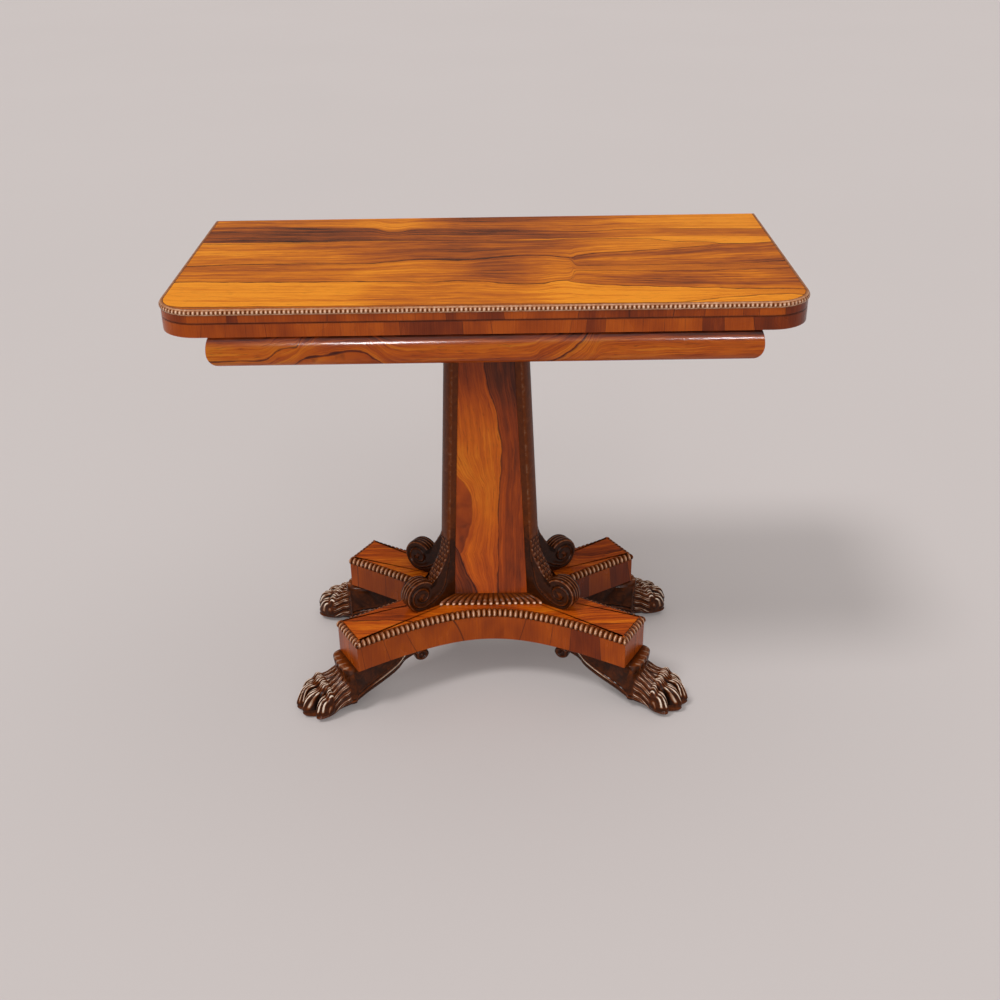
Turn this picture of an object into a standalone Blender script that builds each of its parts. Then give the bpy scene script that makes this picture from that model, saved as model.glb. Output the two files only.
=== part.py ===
"""Fold-over swivel-top card table: two hinged leaves on a cushion frame, a tapered
column with four scrolled corner consoles, a concave-sided platform and four paw feet.
Metres, +Z up, the floor at z = 0, +X along the length of the closed top, -Y to the front."""

import math

import bmesh
import bpy
import numpy as np

# Driving sizes of the top
TOP_W = 0.914
TOP_D = 0.457
TOP_H = 0.740
LEAF_T = 0.0198
CORNER_R = 0.057
BEAD_H = 0.008
BEAD_D = 0.0045
BEAD_PROUD = 0.0018
BAIZE_T = 0.0010
BAIZE_BORDER = 0.034
BAIZE_HINGE_BORDER = 0.014

# Driving sizes of the frame under the top
OVERHANG_X = 0.058
OVERHANG_Y = 0.0365
FRAME_H = 0.0625
MOULD_T = 0.0225
MOULD_FULL_H = 0.025
MOULD_ROUND_IN = 0.0191
MOULD_NECK_IN = 0.0124
MOULD_NECK_H = 0.0088
RAIL_T = 0.020
BEARER_HALF = 0.094
BEARER_T = 0.025
FLOOR_T = 0.008
PIVOT_RAIL_T = 0.022
PIVOT_RAIL_REACH = 0.046

# Driving sizes of the column and its consoles
PANEL_HALF_BASE = 0.0626
PANEL_HALF_TOP = 0.0418
COLUMN_HALF_DEPTH = 0.0446
CONSOLE_T = 0.026
CONSOLE_ANGLE = math.radians(33.0)
CONSOLE_STRIP = 0.013
VOLUTE_R = 0.0285
VOLUTE_REACH = 0.063
SWEEP_H = 0.116
TENON_L = 0.022
TENON_X = 0.030
TENON_Y = 0.018
TENON_EASE = 0.004
CONSOLE_EASE = 0.0022
FOOT_BEAD_H = 0.0125
FOOT_BEAD_D = 0.0185

# Driving sizes of the platform and the feet
PLAT_TOP = 0.147
PLAT_T = 0.0585
ARM_END_X = 0.240
ARM_END_Y = 0.1375
ARM_ANGLE = math.radians(30.0)
ARM_HALF = 0.0395
FRONT_DEEP = 0.080
SIDE_DEEP = 0.121
FRONT_EASE = 0.12
SIDE_EASE = 0.03
PLAT_BEAD_H = 0.0125
PLAT_BEAD_D = 0.0075
PLAT_BEAD_PROUD = 0.0022
FOOT_ANGLE = math.radians(25.5)
FOOT_Y = 0.127
FOOT_REACH = 0.098
FOOT_TAIL = 0.137
FOOT_HALF = 0.0405
FOOT_SCROLL_R = 0.0125
FOOT_SCROLL_DROP = 0.0115
TOE_GROOVE = 0.0055

# Hinges, pivot and stop
PIN_A = 0.0055
PIN_R = 0.0016
HINGE_LEN = 0.060
HINGE_T = 0.0050
LINK_T = 0.0024
LINK_HALF = 0.0044
HINGE_SCREW_NEAR = 0.018
HINGE_SCREW_FAR = 0.0455
SCREW_R = 0.0012
SCREW_HEAD_R = 0.0024
SCREW_HEAD_H = 0.0014
SCREW_LIP = 0.0002
SCREW_TIP_R = 0.0003
SCREW_TIP_L = 0.0015
SCREW_LEN = 0.0125
SLOT_W = 0.0007
SLOT_DEEP = 0.0005
PIVOT_R = 0.006
PIVOT_HEAD_R = 0.0102
PIVOT_HEAD_H = 0.003
PIVOT_PAST_NUT = 0.002
PLATE_HALF = 0.034
PLATE_T = 0.0026
PLATE_SCREW_AT = 0.023
WASHER_R = 0.015
WASHER_T = 0.002
NUT_R = 0.0115
NUT_H = 0.008
PEG_R = 0.006
PEG_REACH = 0.080
PEG_DROP = 0.014
PEG_IN = 0.0099
END_EASE = 0.001

# Clearances
FIT = 0.0003
LEAF_GAP = 0.0006
SLIDE_GAP = 0.0005
STOP_GAP = 0.0007
SKIN = 0.0001
OVERCUT = 0.01
SMOOTH_ANGLE = math.radians(35.0)

# Levels and lines that follow from the sizes
SPLIT_Z = TOP_H - LEAF_T - LEAF_GAP / 2
LOWER_BOTTOM = TOP_H - 2 * LEAF_T - LEAF_GAP
FRAME_TOP = LOWER_BOTTOM - SLIDE_GAP
FRAME_BOTTOM = FRAME_TOP - FRAME_H
FRIEZE_X = TOP_W / 2 - OVERHANG_X
FRIEZE_Y = TOP_D / 2 - OVERHANG_Y
INNER_X = FRIEZE_X - MOULD_T - FIT - RAIL_T
INNER_Y = FRIEZE_Y - MOULD_T - FIT - RAIL_T
PLAT_BOTTOM = PLAT_TOP - PLAT_T
FOOT_TOP = PLAT_BOTTOM - FIT
COLUMN_FOOT = PLAT_TOP + FIT
COLUMN_HEAD = FRAME_BOTTOM - FIT
PIVOT_X = TOP_D / 4
PIVOT_Y = TOP_D / 4
HINGE_Y = TOP_D / 2 - PIN_A
EDGE_R = PIN_A - LEAF_GAP / 2
PIN_LOW_Z = SPLIT_Z - PIN_A
PIN_HIGH_Z = SPLIT_Z + PIN_A
CANT_X = CONSOLE_T * math.sin(CONSOLE_ANGLE)
CANT_Y = CONSOLE_T * math.cos(CONSOLE_ANGLE)
CONSOLE_U = np.array([math.cos(CONSOLE_ANGLE), math.sin(CONSOLE_ANGLE)])
CONSOLE_V = np.array([-math.sin(CONSOLE_ANGLE), math.cos(CONSOLE_ANGLE)])
TAPER = PANEL_HALF_BASE - PANEL_HALF_TOP
DEPTH_TAPER = TAPER * math.tan(CONSOLE_ANGLE)
LEAN = (TAPER / math.cos(CONSOLE_ANGLE)) / (COLUMN_HEAD - COLUMN_FOOT)
CANT_MID = np.array([PANEL_HALF_BASE + CANT_X / 2, COLUMN_HALF_DEPTH - CANT_Y / 2])

FIXED = (0.0, 0.0, 0.0)
SWIVEL_AXIS = (PIVOT_X, PIVOT_Y, LOWER_BOTTOM)
LINK_AXIS = (0.0, HINGE_Y, PIN_LOW_Z)
FOLD_AXIS = (0.0, HINGE_Y, PIN_HIGH_Z)


def make_material(name, colour, roughness, metallic):
    mat = bpy.data.materials.new(name)
    mat.use_nodes = True
    shader = mat.node_tree.nodes["Principled BSDF"]
    shader.inputs["Base Color"].default_value = (*colour, 1.0)
    shader.inputs["Roughness"].default_value = roughness
    shader.inputs["Metallic"].default_value = metallic
    return mat


def add_part(name, mesh_data, mat, origin=FIXED):
    """One closed body from (vertices, faces), its origin put on its joint's axis."""
    verts, faces = mesh_data
    verts = np.asarray(verts, float) - np.asarray(origin, float)
    mesh = bpy.data.meshes.new(name)
    mesh.from_pydata([tuple(v) for v in verts.tolist()], [], faces)
    bm = bmesh.new()
    bm.from_mesh(mesh)
    bmesh.ops.recalc_face_normals(bm, faces=bm.faces)
    bm.to_mesh(mesh)
    bm.free()
    mesh.materials.append(mat)
    obj = bpy.data.objects.new(name, mesh)
    obj.location = origin
    bpy.context.scene.collection.objects.link(obj)
    return obj


def loft(rings, ends=True):
    """Quads between closed rings of equal length; ends caps the first and last rings,
    or joins them when it is False."""
    count = len(rings[0])
    verts = np.concatenate([np.asarray(r, float) for r in rings])
    faces = []
    spans = len(rings) - 1 if ends else len(rings)
    for i in range(spans):
        a = i * count
        b = ((i + 1) % len(rings)) * count
        for j in range(count):
            k = (j + 1) % count
            faces.append((a + j, a + k, b + k, b + j))
    if ends:
        faces.append(tuple(range(count - 1, -1, -1)))
        faces.append(tuple(range((len(rings) - 1) * count, len(rings) * count)))
    return verts, faces


def at_height(plan, z):
    plan = np.asarray(plan, float)
    return np.column_stack([plan, np.full(len(plan), z)])


def prism(plan, z0, z1):
    return loft([at_height(plan, z0), at_height(plan, z1)])


def rect(x0, x1, y0, y1):
    return [(x0, y0), (x1, y0), (x1, y1), (x0, y1)]


def box(x0, x1, y0, y1, z0, z1):
    return prism(rect(x0, x1, y0, y1), z0, z1)


def arc(cx, cy, radius, start, stop, steps):
    angle = np.radians(np.linspace(start, stop, steps + 1))
    return np.column_stack([cx + radius * np.cos(angle), cy + radius * np.sin(angle)])


def turned(profile, centre, axis, steps=16):
    """A solid turned about an axis: profile is (distance along the axis, radius) pairs."""
    angle = np.arange(steps) * 2 * math.pi / steps
    ring_u = np.cos(angle)
    ring_v = np.sin(angle)
    axis = np.asarray(axis, float)
    u = np.array([axis[1], axis[2], axis[0]])
    v = np.cross(axis, u)
    rings = []
    for along, radius in profile:
        middle = np.asarray(centre, float) + axis * along
        rings.append(middle + radius * (ring_u[:, None] * u + ring_v[:, None] * v))
    return loft(rings)


def extruded_x(shape, x0, x1):
    """A (y, z) outline run along X."""
    shape = np.asarray(shape, float)
    return loft([np.column_stack([np.full(len(shape), x), shape]) for x in (x0, x1)])


def mirrored(mesh_data, sx, sy):
    verts, faces = mesh_data
    return np.asarray(verts, float) * np.array([sx, sy, 1.0]), faces


def cut(obj, mesh_data):
    """Takes a closed tool shape out of a part and drops the tool."""
    tool = add_part("tool", mesh_data, obj.data.materials[0])
    mod = obj.modifiers.new("cut", "BOOLEAN")
    mod.operation = "DIFFERENCE"
    mod.solver = "EXACT"
    mod.object = tool
    graph = bpy.context.evaluated_depsgraph_get()
    result = bpy.data.meshes.new_from_object(obj.evaluated_get(graph))
    obj.modifiers.clear()
    old = obj.data
    obj.data = result
    bpy.data.meshes.remove(old)
    tool_mesh = tool.data
    bpy.data.objects.remove(tool)
    bpy.data.meshes.remove(tool_mesh)


def offset_loop(plan, distance):
    """A closed outline moved outward by a distance, mitred at its corners."""
    plan = np.asarray(plan, float)
    ahead = np.roll(plan, -1, axis=0) - plan
    ahead /= np.linalg.norm(ahead, axis=1)[:, None]
    normal = np.column_stack([ahead[:, 1], -ahead[:, 0]])
    before = np.roll(normal, 1, axis=0)
    both = normal + before
    both /= (1.0 + np.sum(normal * before, axis=1))[:, None]
    return plan + distance * both


def leaf_outline(inset, back):
    """The plan of a leaf, counter-clockwise from the back right corner: square at the
    hinge edge, round at the two front corners, inset on the three open sides."""
    hx = TOP_W / 2 - inset
    front = -TOP_D / 2 + inset
    r = CORNER_R - inset
    left = arc(-hx + r, front + r, r, 180, 270, 10)
    right = arc(hx - r, front + r, r, 270, 360, 10)
    return np.concatenate([[(hx, back), (-hx, back)], left, right])


def leaf_rings(pin_z, toward):
    """Rings of a leaf's square edge and the round that its hinge edge rolls on; toward
    is +1 when the playing face looks up and -1 when it looks down."""
    rings = []
    for step in range(6):
        turn = math.radians(90.0 * step / 5)
        z = pin_z + toward * EDGE_R * math.sin(turn)
        rings.append(at_height(leaf_outline(0.0, HINGE_Y + EDGE_R * math.cos(turn)), z))
    return rings


def baize_outline(grow):
    hx = TOP_W / 2 - BAIZE_BORDER + grow
    front = -TOP_D / 2 + BAIZE_BORDER - grow
    back = TOP_D / 2 - BAIZE_HINGE_BORDER + grow
    r = CORNER_R - BAIZE_BORDER + grow
    left = arc(-hx + r, front + r, r, 180, 270, 6)
    right = arc(hx - r, front + r, r, 270, 360, 6)
    return np.concatenate([[(hx, back), (-hx, back)], left, right])


def stadium(y0, z0, y1, z1, radius):
    """A (y, z) outline with round ends about two centres."""
    heading = math.degrees(math.atan2(z1 - z0, y1 - y0))
    end = arc(y1, z1, radius, heading - 90, heading + 90, 10)
    start = arc(y0, z0, radius, heading + 90, heading + 270, 10)
    return np.concatenate([end, start])


def screw_shape(head, direction, grow):
    """A countersunk wood screw driven along an axis from its head."""
    profile = [
        (-grow, SCREW_HEAD_R + grow),
        (SCREW_LIP, SCREW_HEAD_R + grow),
        (SCREW_HEAD_H, SCREW_R + grow),
        (SCREW_LEN - SCREW_TIP_L, SCREW_R + grow),
        (SCREW_LEN + grow, SCREW_TIP_R + grow),
    ]
    return turned(profile, head, direction, 12)


def make_screw(name, head, direction, slot_half, mat, origin):
    """A screw with a driver slot across its head: slot_half is half the slot's box."""
    obj = add_part(name, screw_shape(head, direction, 0.0), mat, origin)
    half = np.array(slot_half)
    low = np.array(head) - half
    high = np.array(head) + half
    cut(obj, box(low[0], high[0], low[1], high[1], low[2], high[2]))
    return obj


# Start from an empty scene
for old_object in list(bpy.data.objects):
    bpy.data.objects.remove(old_object, do_unlink=True)

ROSEWOOD = make_material("rosewood", (0.30, 0.085, 0.030), 0.28, 0.0)
CARVED = make_material("dark_carved_rosewood", (0.045, 0.022, 0.014), 0.30, 0.0)
PINE = make_material("pine", (0.45, 0.27, 0.12), 0.65, 0.0)
BRASS = make_material("brass", (0.62, 0.42, 0.14), 0.32, 1.0)
IRON = make_material("iron", (0.16, 0.15, 0.14), 0.50, 1.0)
BAIZE = make_material("green_baize", (0.035, 0.13, 0.065), 0.95, 0.0)

# Platform: a four-armed slab with concave sides and canted arm ends
ARM_OUT = (
    ARM_END_X + ARM_HALF * math.sin(ARM_ANGLE),
    ARM_END_Y - ARM_HALF * math.cos(ARM_ANGLE),
)
ARM_IN = (
    ARM_END_X - ARM_HALF * math.sin(ARM_ANGLE),
    ARM_END_Y + ARM_HALF * math.cos(ARM_ANGLE),
)


def hollow(deep, far, width, ease, along):
    """A hyperbola that leaves its middle at deep and passes through (width, far)."""
    slope2 = ((far - deep + ease) ** 2 - ease**2) / width**2
    return deep - ease + np.sqrt(ease**2 + slope2 * along**2)


def platform_plan():
    front_x = np.linspace(-ARM_IN[0], ARM_IN[0], 21)
    front = np.column_stack(
        [front_x, -hollow(FRONT_DEEP, ARM_IN[1], ARM_IN[0], FRONT_EASE, front_x)]
    )
    side_y = np.linspace(-ARM_OUT[1], ARM_OUT[1], 15)
    side = np.column_stack(
        [hollow(SIDE_DEEP, ARM_OUT[0], ARM_OUT[1], SIDE_EASE, side_y), side_y]
    )
    return np.concatenate([front, side, -front, -side])


PLAN = platform_plan()
REBATE_Z = PLAT_TOP - PLAT_BEAD_H - FIT
inner_plan = offset_loop(PLAN, -PLAT_BEAD_D - FIT)
platform = add_part(
    "platform",
    loft(
        [
            at_height(PLAN, PLAT_BOTTOM),
            at_height(PLAN, REBATE_Z),
            at_height(inner_plan, REBATE_Z),
            at_height(inner_plan, PLAT_TOP),
        ]
    ),
    ROSEWOOD,
)

# Platform beading: a strip in the rebate round the top edge of the platform
bead_section = [
    (-PLAT_BEAD_D, 0.0),
    (PLAT_BEAD_PROUD * 0.7, 0.0),
    (PLAT_BEAD_PROUD, PLAT_BEAD_H * 0.3),
    (PLAT_BEAD_PROUD * 0.4, PLAT_BEAD_H * 0.65),
    (-PLAT_BEAD_D * 0.35, PLAT_BEAD_H * 0.95),
    (-PLAT_BEAD_D, PLAT_BEAD_H),
]
add_part(
    "platform_beading",
    loft(
        [at_height(offset_loop(PLAN, d), REBATE_Z + FIT + h) for d, h in bead_section],
        ends=False,
    ),
    CARVED,
)

# Paw feet: a paw under each arm end with a bracket that runs in under the platform
FOOT_POINTS = 28
FOOT_SQUARE = 0.36
PAW_SQUARE = 0.62
SCROLL_Z = FOOT_TOP - FOOT_SCROLL_DROP - FOOT_SCROLL_R
FOOT_OUT = np.array([math.cos(FOOT_ANGLE), math.sin(FOOT_ANGLE)])
FOOT_ACROSS = np.array([-math.sin(FOOT_ANGLE), math.cos(FOOT_ANGLE)])


def foot_stations():
    """Places along the foot: close steps over the scroll, then the bracket and the paw."""
    turn = np.radians(np.linspace(0.0, 180.0, 7))
    scroll = -FOOT_TAIL + FOOT_SCROLL_R * (1.0 - np.cos(turn))
    bracket = FOOT_TAIL * np.array([-0.74, -0.61, -0.48, -0.36, -0.24, -0.12])
    paw = FOOT_REACH * np.array(
        [0.0, 0.09, 0.15, 0.19, 0.22, 0.33, 0.45, 0.57, 0.70, 0.81, 0.90, 0.96, 0.99]
    )
    return np.concatenate([scroll, bracket, paw])


def foot_shape():
    """Rings across the foot: half width, sole and top are curves along its length. The top
    steps down from the collar at the arm's end and is parted into four toes."""
    stations = foot_stations()
    share = np.where(stations > 0, stations / FOOT_REACH, stations / FOOT_TAIL)
    half = FOOT_HALF * np.interp(
        share,
        [-1.0, -0.6, -0.3, -0.15, 0.0, 0.13, 0.24, 0.34, 0.46, 0.57, 0.71, 0.82, 0.92, 0.99],
        [0.45, 0.47, 0.60, 0.75, 0.92, 0.97, 0.85, 0.86, 0.97, 1.0, 0.95, 0.82, 0.56, 0.28],
    )
    sole = FOOT_TOP * np.interp(
        share,
        [-0.80, -0.68, -0.59, -0.49, -0.29, -0.07, 0.15, 0.35, 0.48, 0.90, 0.99],
        [0.80, 0.75, 0.56, 0.465, 0.335, 0.24, 0.10, 0.02, -0.05, -0.05, 0.02],
    )
    top = FOOT_TOP * np.interp(
        share,
        [0.15, 0.19, 0.22, 0.27, 0.34, 0.46, 0.57, 0.71, 0.82, 0.90, 0.96, 0.99],
        [1.06, 0.94, 0.73, 0.63, 0.60, 0.63, 0.635, 0.57, 0.50, 0.41, 0.27, 0.13],
    )
    around = np.arange(FOOT_POINTS) * 2 * math.pi / FOOT_POINTS
    rings = []
    for place, part_share, w, low, high in zip(stations, share, half, sole, top):
        power = np.interp(part_share, [-0.2, 0.3], [FOOT_SQUARE, PAW_SQUARE])
        square_c = np.sign(np.cos(around)) * np.abs(np.cos(around)) ** power
        square_s = np.sign(np.sin(around)) * np.abs(np.sin(around)) ** power
        from_scroll = place + FOOT_TAIL - FOOT_SCROLL_R
        if from_scroll < FOOT_SCROLL_R:
            rise = math.sqrt(max(FOOT_SCROLL_R**2 - from_scroll**2, SKIN**2))
            low = min(low, SCROLL_Z - rise)
            if from_scroll < -SKIN:
                high = SCROLL_Z + rise
        t = w * square_c
        z = 0.5 * (high + low) + 0.5 * (high - low) * square_s
        toe = TOE_GROOVE * np.clip((part_share - 0.40) / 0.25, 0.0, 1.0)
        from_groove = np.abs((np.abs(t) / w + 0.25) % 0.5 - 0.25)
        groove = toe * np.exp(-((from_groove / 0.10) ** 2)) * (np.abs(t) < 0.8 * w)
        z = np.clip(np.where(square_s > 0.2, z - groove, z), 0.0, FOOT_TOP)
        plan = np.array([ARM_END_X, FOOT_Y]) + place * FOOT_OUT + t[:, None] * FOOT_ACROSS
        rings.append(np.column_stack([plan, z]))
    return loft(rings)


foot = foot_shape()
for side_name, sx in (("left", -1), ("right", 1)):
    for end_name, sy in (("front", -1), ("back", 1)):
        add_part(f"paw_foot_{end_name}_{side_name}", mirrored(foot, sx, sy), CARVED)


# Column: a tapered post with canted corners and a tenon at each end
def column_plan(panel_half, half_depth):
    corner = [
        (panel_half + CANT_X, half_depth - CANT_Y),
        (panel_half, half_depth),
    ]
    quarter = np.array(corner)
    back_left = quarter[::-1] * (-1, 1)
    return np.concatenate([quarter, back_left, -quarter, -back_left])


def tenon_plan(grow):
    x = TENON_X + grow
    y = TENON_Y + grow
    quarter = np.array([(x, y - TENON_EASE), (x - TENON_EASE, y)])
    back_left = quarter[::-1] * (-1, 1)
    return np.concatenate([quarter, back_left, -quarter, -back_left])


base_plan = column_plan(PANEL_HALF_BASE, COLUMN_HALF_DEPTH)
head_plan = column_plan(PANEL_HALF_TOP, COLUMN_HALF_DEPTH - DEPTH_TAPER)
add_part(
    "column_core",
    loft(
        [
            at_height(tenon_plan(0.0), COLUMN_FOOT - TENON_L),
            at_height(tenon_plan(0.0), COLUMN_FOOT),
            at_height(base_plan, COLUMN_FOOT),
            at_height(head_plan, COLUMN_HEAD),
            at_height(tenon_plan(0.0), COLUMN_HEAD),
            at_height(tenon_plan(0.0), COLUMN_HEAD + TENON_L),
        ]
    ),
    ROSEWOOD,
)
cut(platform, prism(tenon_plan(FIT), COLUMN_FOOT - TENON_L - FIT, PLAT_TOP + OVERCUT))


# Consoles: a strip up each corner of the column that sweeps out into a volute
def console_outline():
    """(reach, height) points, counter-clockwise from the foot of the column."""
    centre_z = COLUMN_FOOT + VOLUTE_R
    rise = COLUMN_HEAD - COLUMN_FOOT
    volute = arc(VOLUTE_REACH, centre_z, VOLUTE_R, -90, 150, 20)
    crease_r, crease_z = volute[-1]
    heights = np.array([0.0, 0.22, 0.37, 0.50, 0.64, 0.78, 1.0])
    shares = np.array([1.0, 0.76, 0.53, 0.33, 0.15, 0.05, 0.0])
    sweep_z = COLUMN_FOOT + SWEEP_H - (1.0 - heights) * (COLUMN_FOOT + SWEEP_H - crease_z)
    strip_r = CONSOLE_STRIP + FIT - LEAN * (sweep_z - COLUMN_FOOT)
    sweep_r = strip_r + shares * (crease_r - strip_r[0])
    sweep = np.column_stack([sweep_r, sweep_z])[1:]
    head_r = FIT - LEAN * rise
    return np.concatenate(
        [
            [(FIT, COLUMN_FOOT)],
            volute,
            sweep,
            [(head_r + CONSOLE_STRIP, COLUMN_HEAD), (head_r, COLUMN_HEAD)],
        ]
    )


def console_shape():
    """The outline run across the console, its edges eased on both sides."""
    outline = console_outline()
    eased = offset_loop(outline, -CONSOLE_EASE)
    keep = outline[:, 0] < FIT - LEAN * (outline[:, 1] - COLUMN_FOOT) + SKIN
    eased[keep, 0] = outline[keep, 0]
    eased[:, 1] = np.clip(eased[:, 1], COLUMN_FOOT, COLUMN_HEAD)
    eased[[0, -1, -2], 1] = outline[[0, -1, -2], 1]
    rings = []
    half = CONSOLE_T / 2
    for across, shape in (
        (-half, eased),
        (-half + CONSOLE_EASE, outline),
        (half - CONSOLE_EASE, outline),
        (half, eased),
    ):
        plan = CANT_MID + shape[:, :1] * CONSOLE_U + across * CONSOLE_V
        rings.append(np.column_stack([plan, shape[:, 1]]))
    return loft(rings)


console = console_shape()
for side_name, sx in (("left", -1), ("right", 1)):
    for end_name, sy in (("front", -1), ("back", 1)):
        add_part(f"console_{end_name}_{side_name}", mirrored(console, sx, sy), CARVED)


# Column beading: a quarter-round strip on the platform along each foot of the column
def foot_bead_shape(start, run, near, far, turned_side):
    """A strip from near to far in front of a column face, its ends cut to follow the
    consoles: start is the console's side line at near and run its slope."""
    section = [
        (0.0, 0.0),
        (1.0, 0.0),
        (1.0, 0.35),
        (0.82, 0.72),
        (0.45, 0.96),
        (0.0, 1.0),
    ]
    rings = []
    for sign in (-1, 1):
        ring = []
        for out, up in section:
            place = near + out * (far - near)
            end = sign * (start + run * (place - near))
            z = COLUMN_FOOT + up * FOOT_BEAD_H
            ring.append((place, end, z) if turned_side else (end, place, z))
        rings.append(np.array(ring))
    return loft(rings)


side_line = CONSOLE_T / 2 + FIT
front_near = COLUMN_HALF_DEPTH + FIT
front_at = CANT_MID + side_line * CONSOLE_V
front_start = front_at[0] + (front_near - front_at[1]) / math.tan(CONSOLE_ANGLE)
front_bead = foot_bead_shape(
    front_start,
    1 / math.tan(CONSOLE_ANGLE),
    front_near,
    front_near + FOOT_BEAD_D,
    False,
)
end_near = PANEL_HALF_BASE + CANT_X + FIT
end_at = CANT_MID - side_line * CONSOLE_V
end_start = end_at[1] + (end_near - end_at[0]) * math.tan(CONSOLE_ANGLE)
end_bead = foot_bead_shape(
    end_start, math.tan(CONSOLE_ANGLE), end_near, end_near + FOOT_BEAD_D, True
)
add_part("column_beading_front", mirrored(front_bead, 1, -1), CARVED)
add_part("column_beading_back", front_bead, CARVED)
add_part("column_beading_left", mirrored(end_bead, -1, 1), CARVED)
add_part("column_beading_right", end_bead, CARVED)

# Frame: four pine rails faced with cushion mouldings mitred at the corners
RAIL_X = INNER_X + RAIL_T
RAIL_Y = INNER_Y + RAIL_T
for end_name, sy in (("front", -1), ("back", 1)):
    add_part(
        f"rail_{end_name}",
        mirrored(box(-RAIL_X, RAIL_X, INNER_Y, RAIL_Y, FRAME_BOTTOM, FRAME_TOP), 1, sy),
        PINE,
    )
for side_name, sx in (("left", -1), ("right", 1)):
    add_part(
        f"rail_{side_name}",
        mirrored(
            box(INNER_X, RAIL_X, -INNER_Y + FIT, INNER_Y - FIT, FRAME_BOTTOM, FRAME_TOP),
            sx,
            1,
        ),
        PINE,
    )


def cushion_section():
    """(depth inward, height) points of the frieze: a quarter round below the fullest
    line, a flatter round above it and a short upright neck at the top."""
    rise = FRAME_H - MOULD_NECK_H - MOULD_FULL_H
    low = arc(1.0, 1.0, 1.0, 270, 180, 6) * (MOULD_ROUND_IN, MOULD_FULL_H)
    high = arc(1.0, 0.0, 1.0, 180, 90, 6)[1:] * (MOULD_NECK_IN, rise)
    high[:, 1] += MOULD_FULL_H
    ends = [(MOULD_NECK_IN, FRAME_H), (MOULD_T, FRAME_H), (MOULD_T, 0.0)]
    return np.concatenate([low, high, ends])


def frieze_shape(half_length, outer, turned_side):
    """The cushion section run along a side, mitred at both ends with a small gap."""
    rings = []
    section = cushion_section()
    for sign in (-1, 1):
        run = sign * (half_length - section[:, 0] - FIT / 2)
        out = outer - section[:, 0]
        z = FRAME_BOTTOM + section[:, 1]
        cols = (out, run, z) if turned_side else (run, out, z)
        rings.append(np.column_stack(cols))
    return loft(rings)


long_frieze = frieze_shape(FRIEZE_X, FRIEZE_Y, False)
short_frieze = frieze_shape(FRIEZE_Y, FRIEZE_X, True)
add_part("frieze_front", mirrored(long_frieze, 1, -1), ROSEWOOD)
add_part("frieze_back", long_frieze, ROSEWOOD)
add_part("frieze_left", mirrored(short_frieze, -1, 1), ROSEWOOD)
add_part("frieze_right", short_frieze, ROSEWOOD)

# Bearer that the column is tenoned into, and the floors of the wells beside it
bearer = add_part(
    "column_bearer",
    box(
        -BEARER_HALF,
        BEARER_HALF,
        -INNER_Y + FIT,
        INNER_Y - FIT,
        FRAME_BOTTOM,
        FRAME_BOTTOM + BEARER_T,
    ),
    PINE,
)
BEARER_TOP = FRAME_BOTTOM + BEARER_T
cut(bearer, prism(tenon_plan(FIT), FRAME_BOTTOM - OVERCUT, BEARER_TOP + OVERCUT))
floor_board = box(
    BEARER_HALF + FIT,
    INNER_X - FIT,
    -INNER_Y + FIT,
    INNER_Y - FIT,
    FRAME_BOTTOM,
    FRAME_BOTTOM + FLOOR_T,
)
add_part("well_floor_left", mirrored(floor_board, -1, 1), PINE)
add_part("well_floor_right", floor_board, PINE)

# Pivot rail across the frame, and the peg path that ends at its left edge
PEG_Y = INNER_Y - PEG_R - STOP_GAP
PEG_X = PIVOT_X - math.sqrt(PEG_REACH**2 - (PEG_Y - PIVOT_Y) ** 2)
RAIL_LEFT = PIVOT_X - (PEG_Y - PIVOT_Y) + PEG_R + STOP_GAP
PIVOT_RAIL_TOP = FRAME_TOP - SLIDE_GAP
pivot_rail = add_part(
    "pivot_rail",
    box(
        RAIL_LEFT,
        PIVOT_X + PIVOT_RAIL_REACH,
        -INNER_Y + FIT,
        INNER_Y - FIT,
        PIVOT_RAIL_TOP - PIVOT_RAIL_T,
        PIVOT_RAIL_TOP,
    ),
    PINE,
)
UP = (0.0, 0.0, 1.0)
pivot_foot = (PIVOT_X, PIVOT_Y, 0.0)
WASHER_TOP = PIVOT_RAIL_TOP - PIVOT_RAIL_T - FIT
NUT_TOP = WASHER_TOP - WASHER_T - FIT
BOLT_END = NUT_TOP - NUT_H - PIVOT_PAST_NUT
pivot_hole = turned(
    [(BOLT_END - OVERCUT, PIVOT_R + FIT), (LOWER_BOTTOM + OVERCUT, PIVOT_R + FIT)],
    pivot_foot,
    UP,
    24,
)
cut(pivot_rail, pivot_hole)

# Lower leaf with the baize, the pivot and the stop peg let into it
LEAF_BACK = TOP_D / 2 - LEAF_GAP / 2
lower_leaf = add_part(
    "lower_leaf",
    loft(
        [at_height(leaf_outline(0.0, LEAF_BACK), LOWER_BOTTOM)]
        + leaf_rings(PIN_LOW_Z, 1)
    ),
    ROSEWOOD,
    SWIVEL_AXIS,
)
LOWER_FACE = SPLIT_Z - LEAF_GAP / 2
cut(lower_leaf, prism(baize_outline(FIT), LOWER_FACE - BAIZE_T - FIT, LOWER_FACE + OVERCUT))
add_part(
    "lower_baize",
    prism(baize_outline(0.0), LOWER_FACE - BAIZE_T, LOWER_FACE),
    BAIZE,
    SWIVEL_AXIS,
)
PLATE_TOP = LOWER_BOTTOM + SKIN + PLATE_T
plate_rect = rect(
    PIVOT_X - PLATE_HALF, PIVOT_X + PLATE_HALF, PIVOT_Y - PLATE_HALF, PIVOT_Y + PLATE_HALF
)
cut(lower_leaf, prism(offset_loop(plate_rect, FIT), LOWER_BOTTOM - OVERCUT, PLATE_TOP + SKIN))
HEAD_TOP = PLATE_TOP + SKIN + PIVOT_HEAD_H
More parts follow.
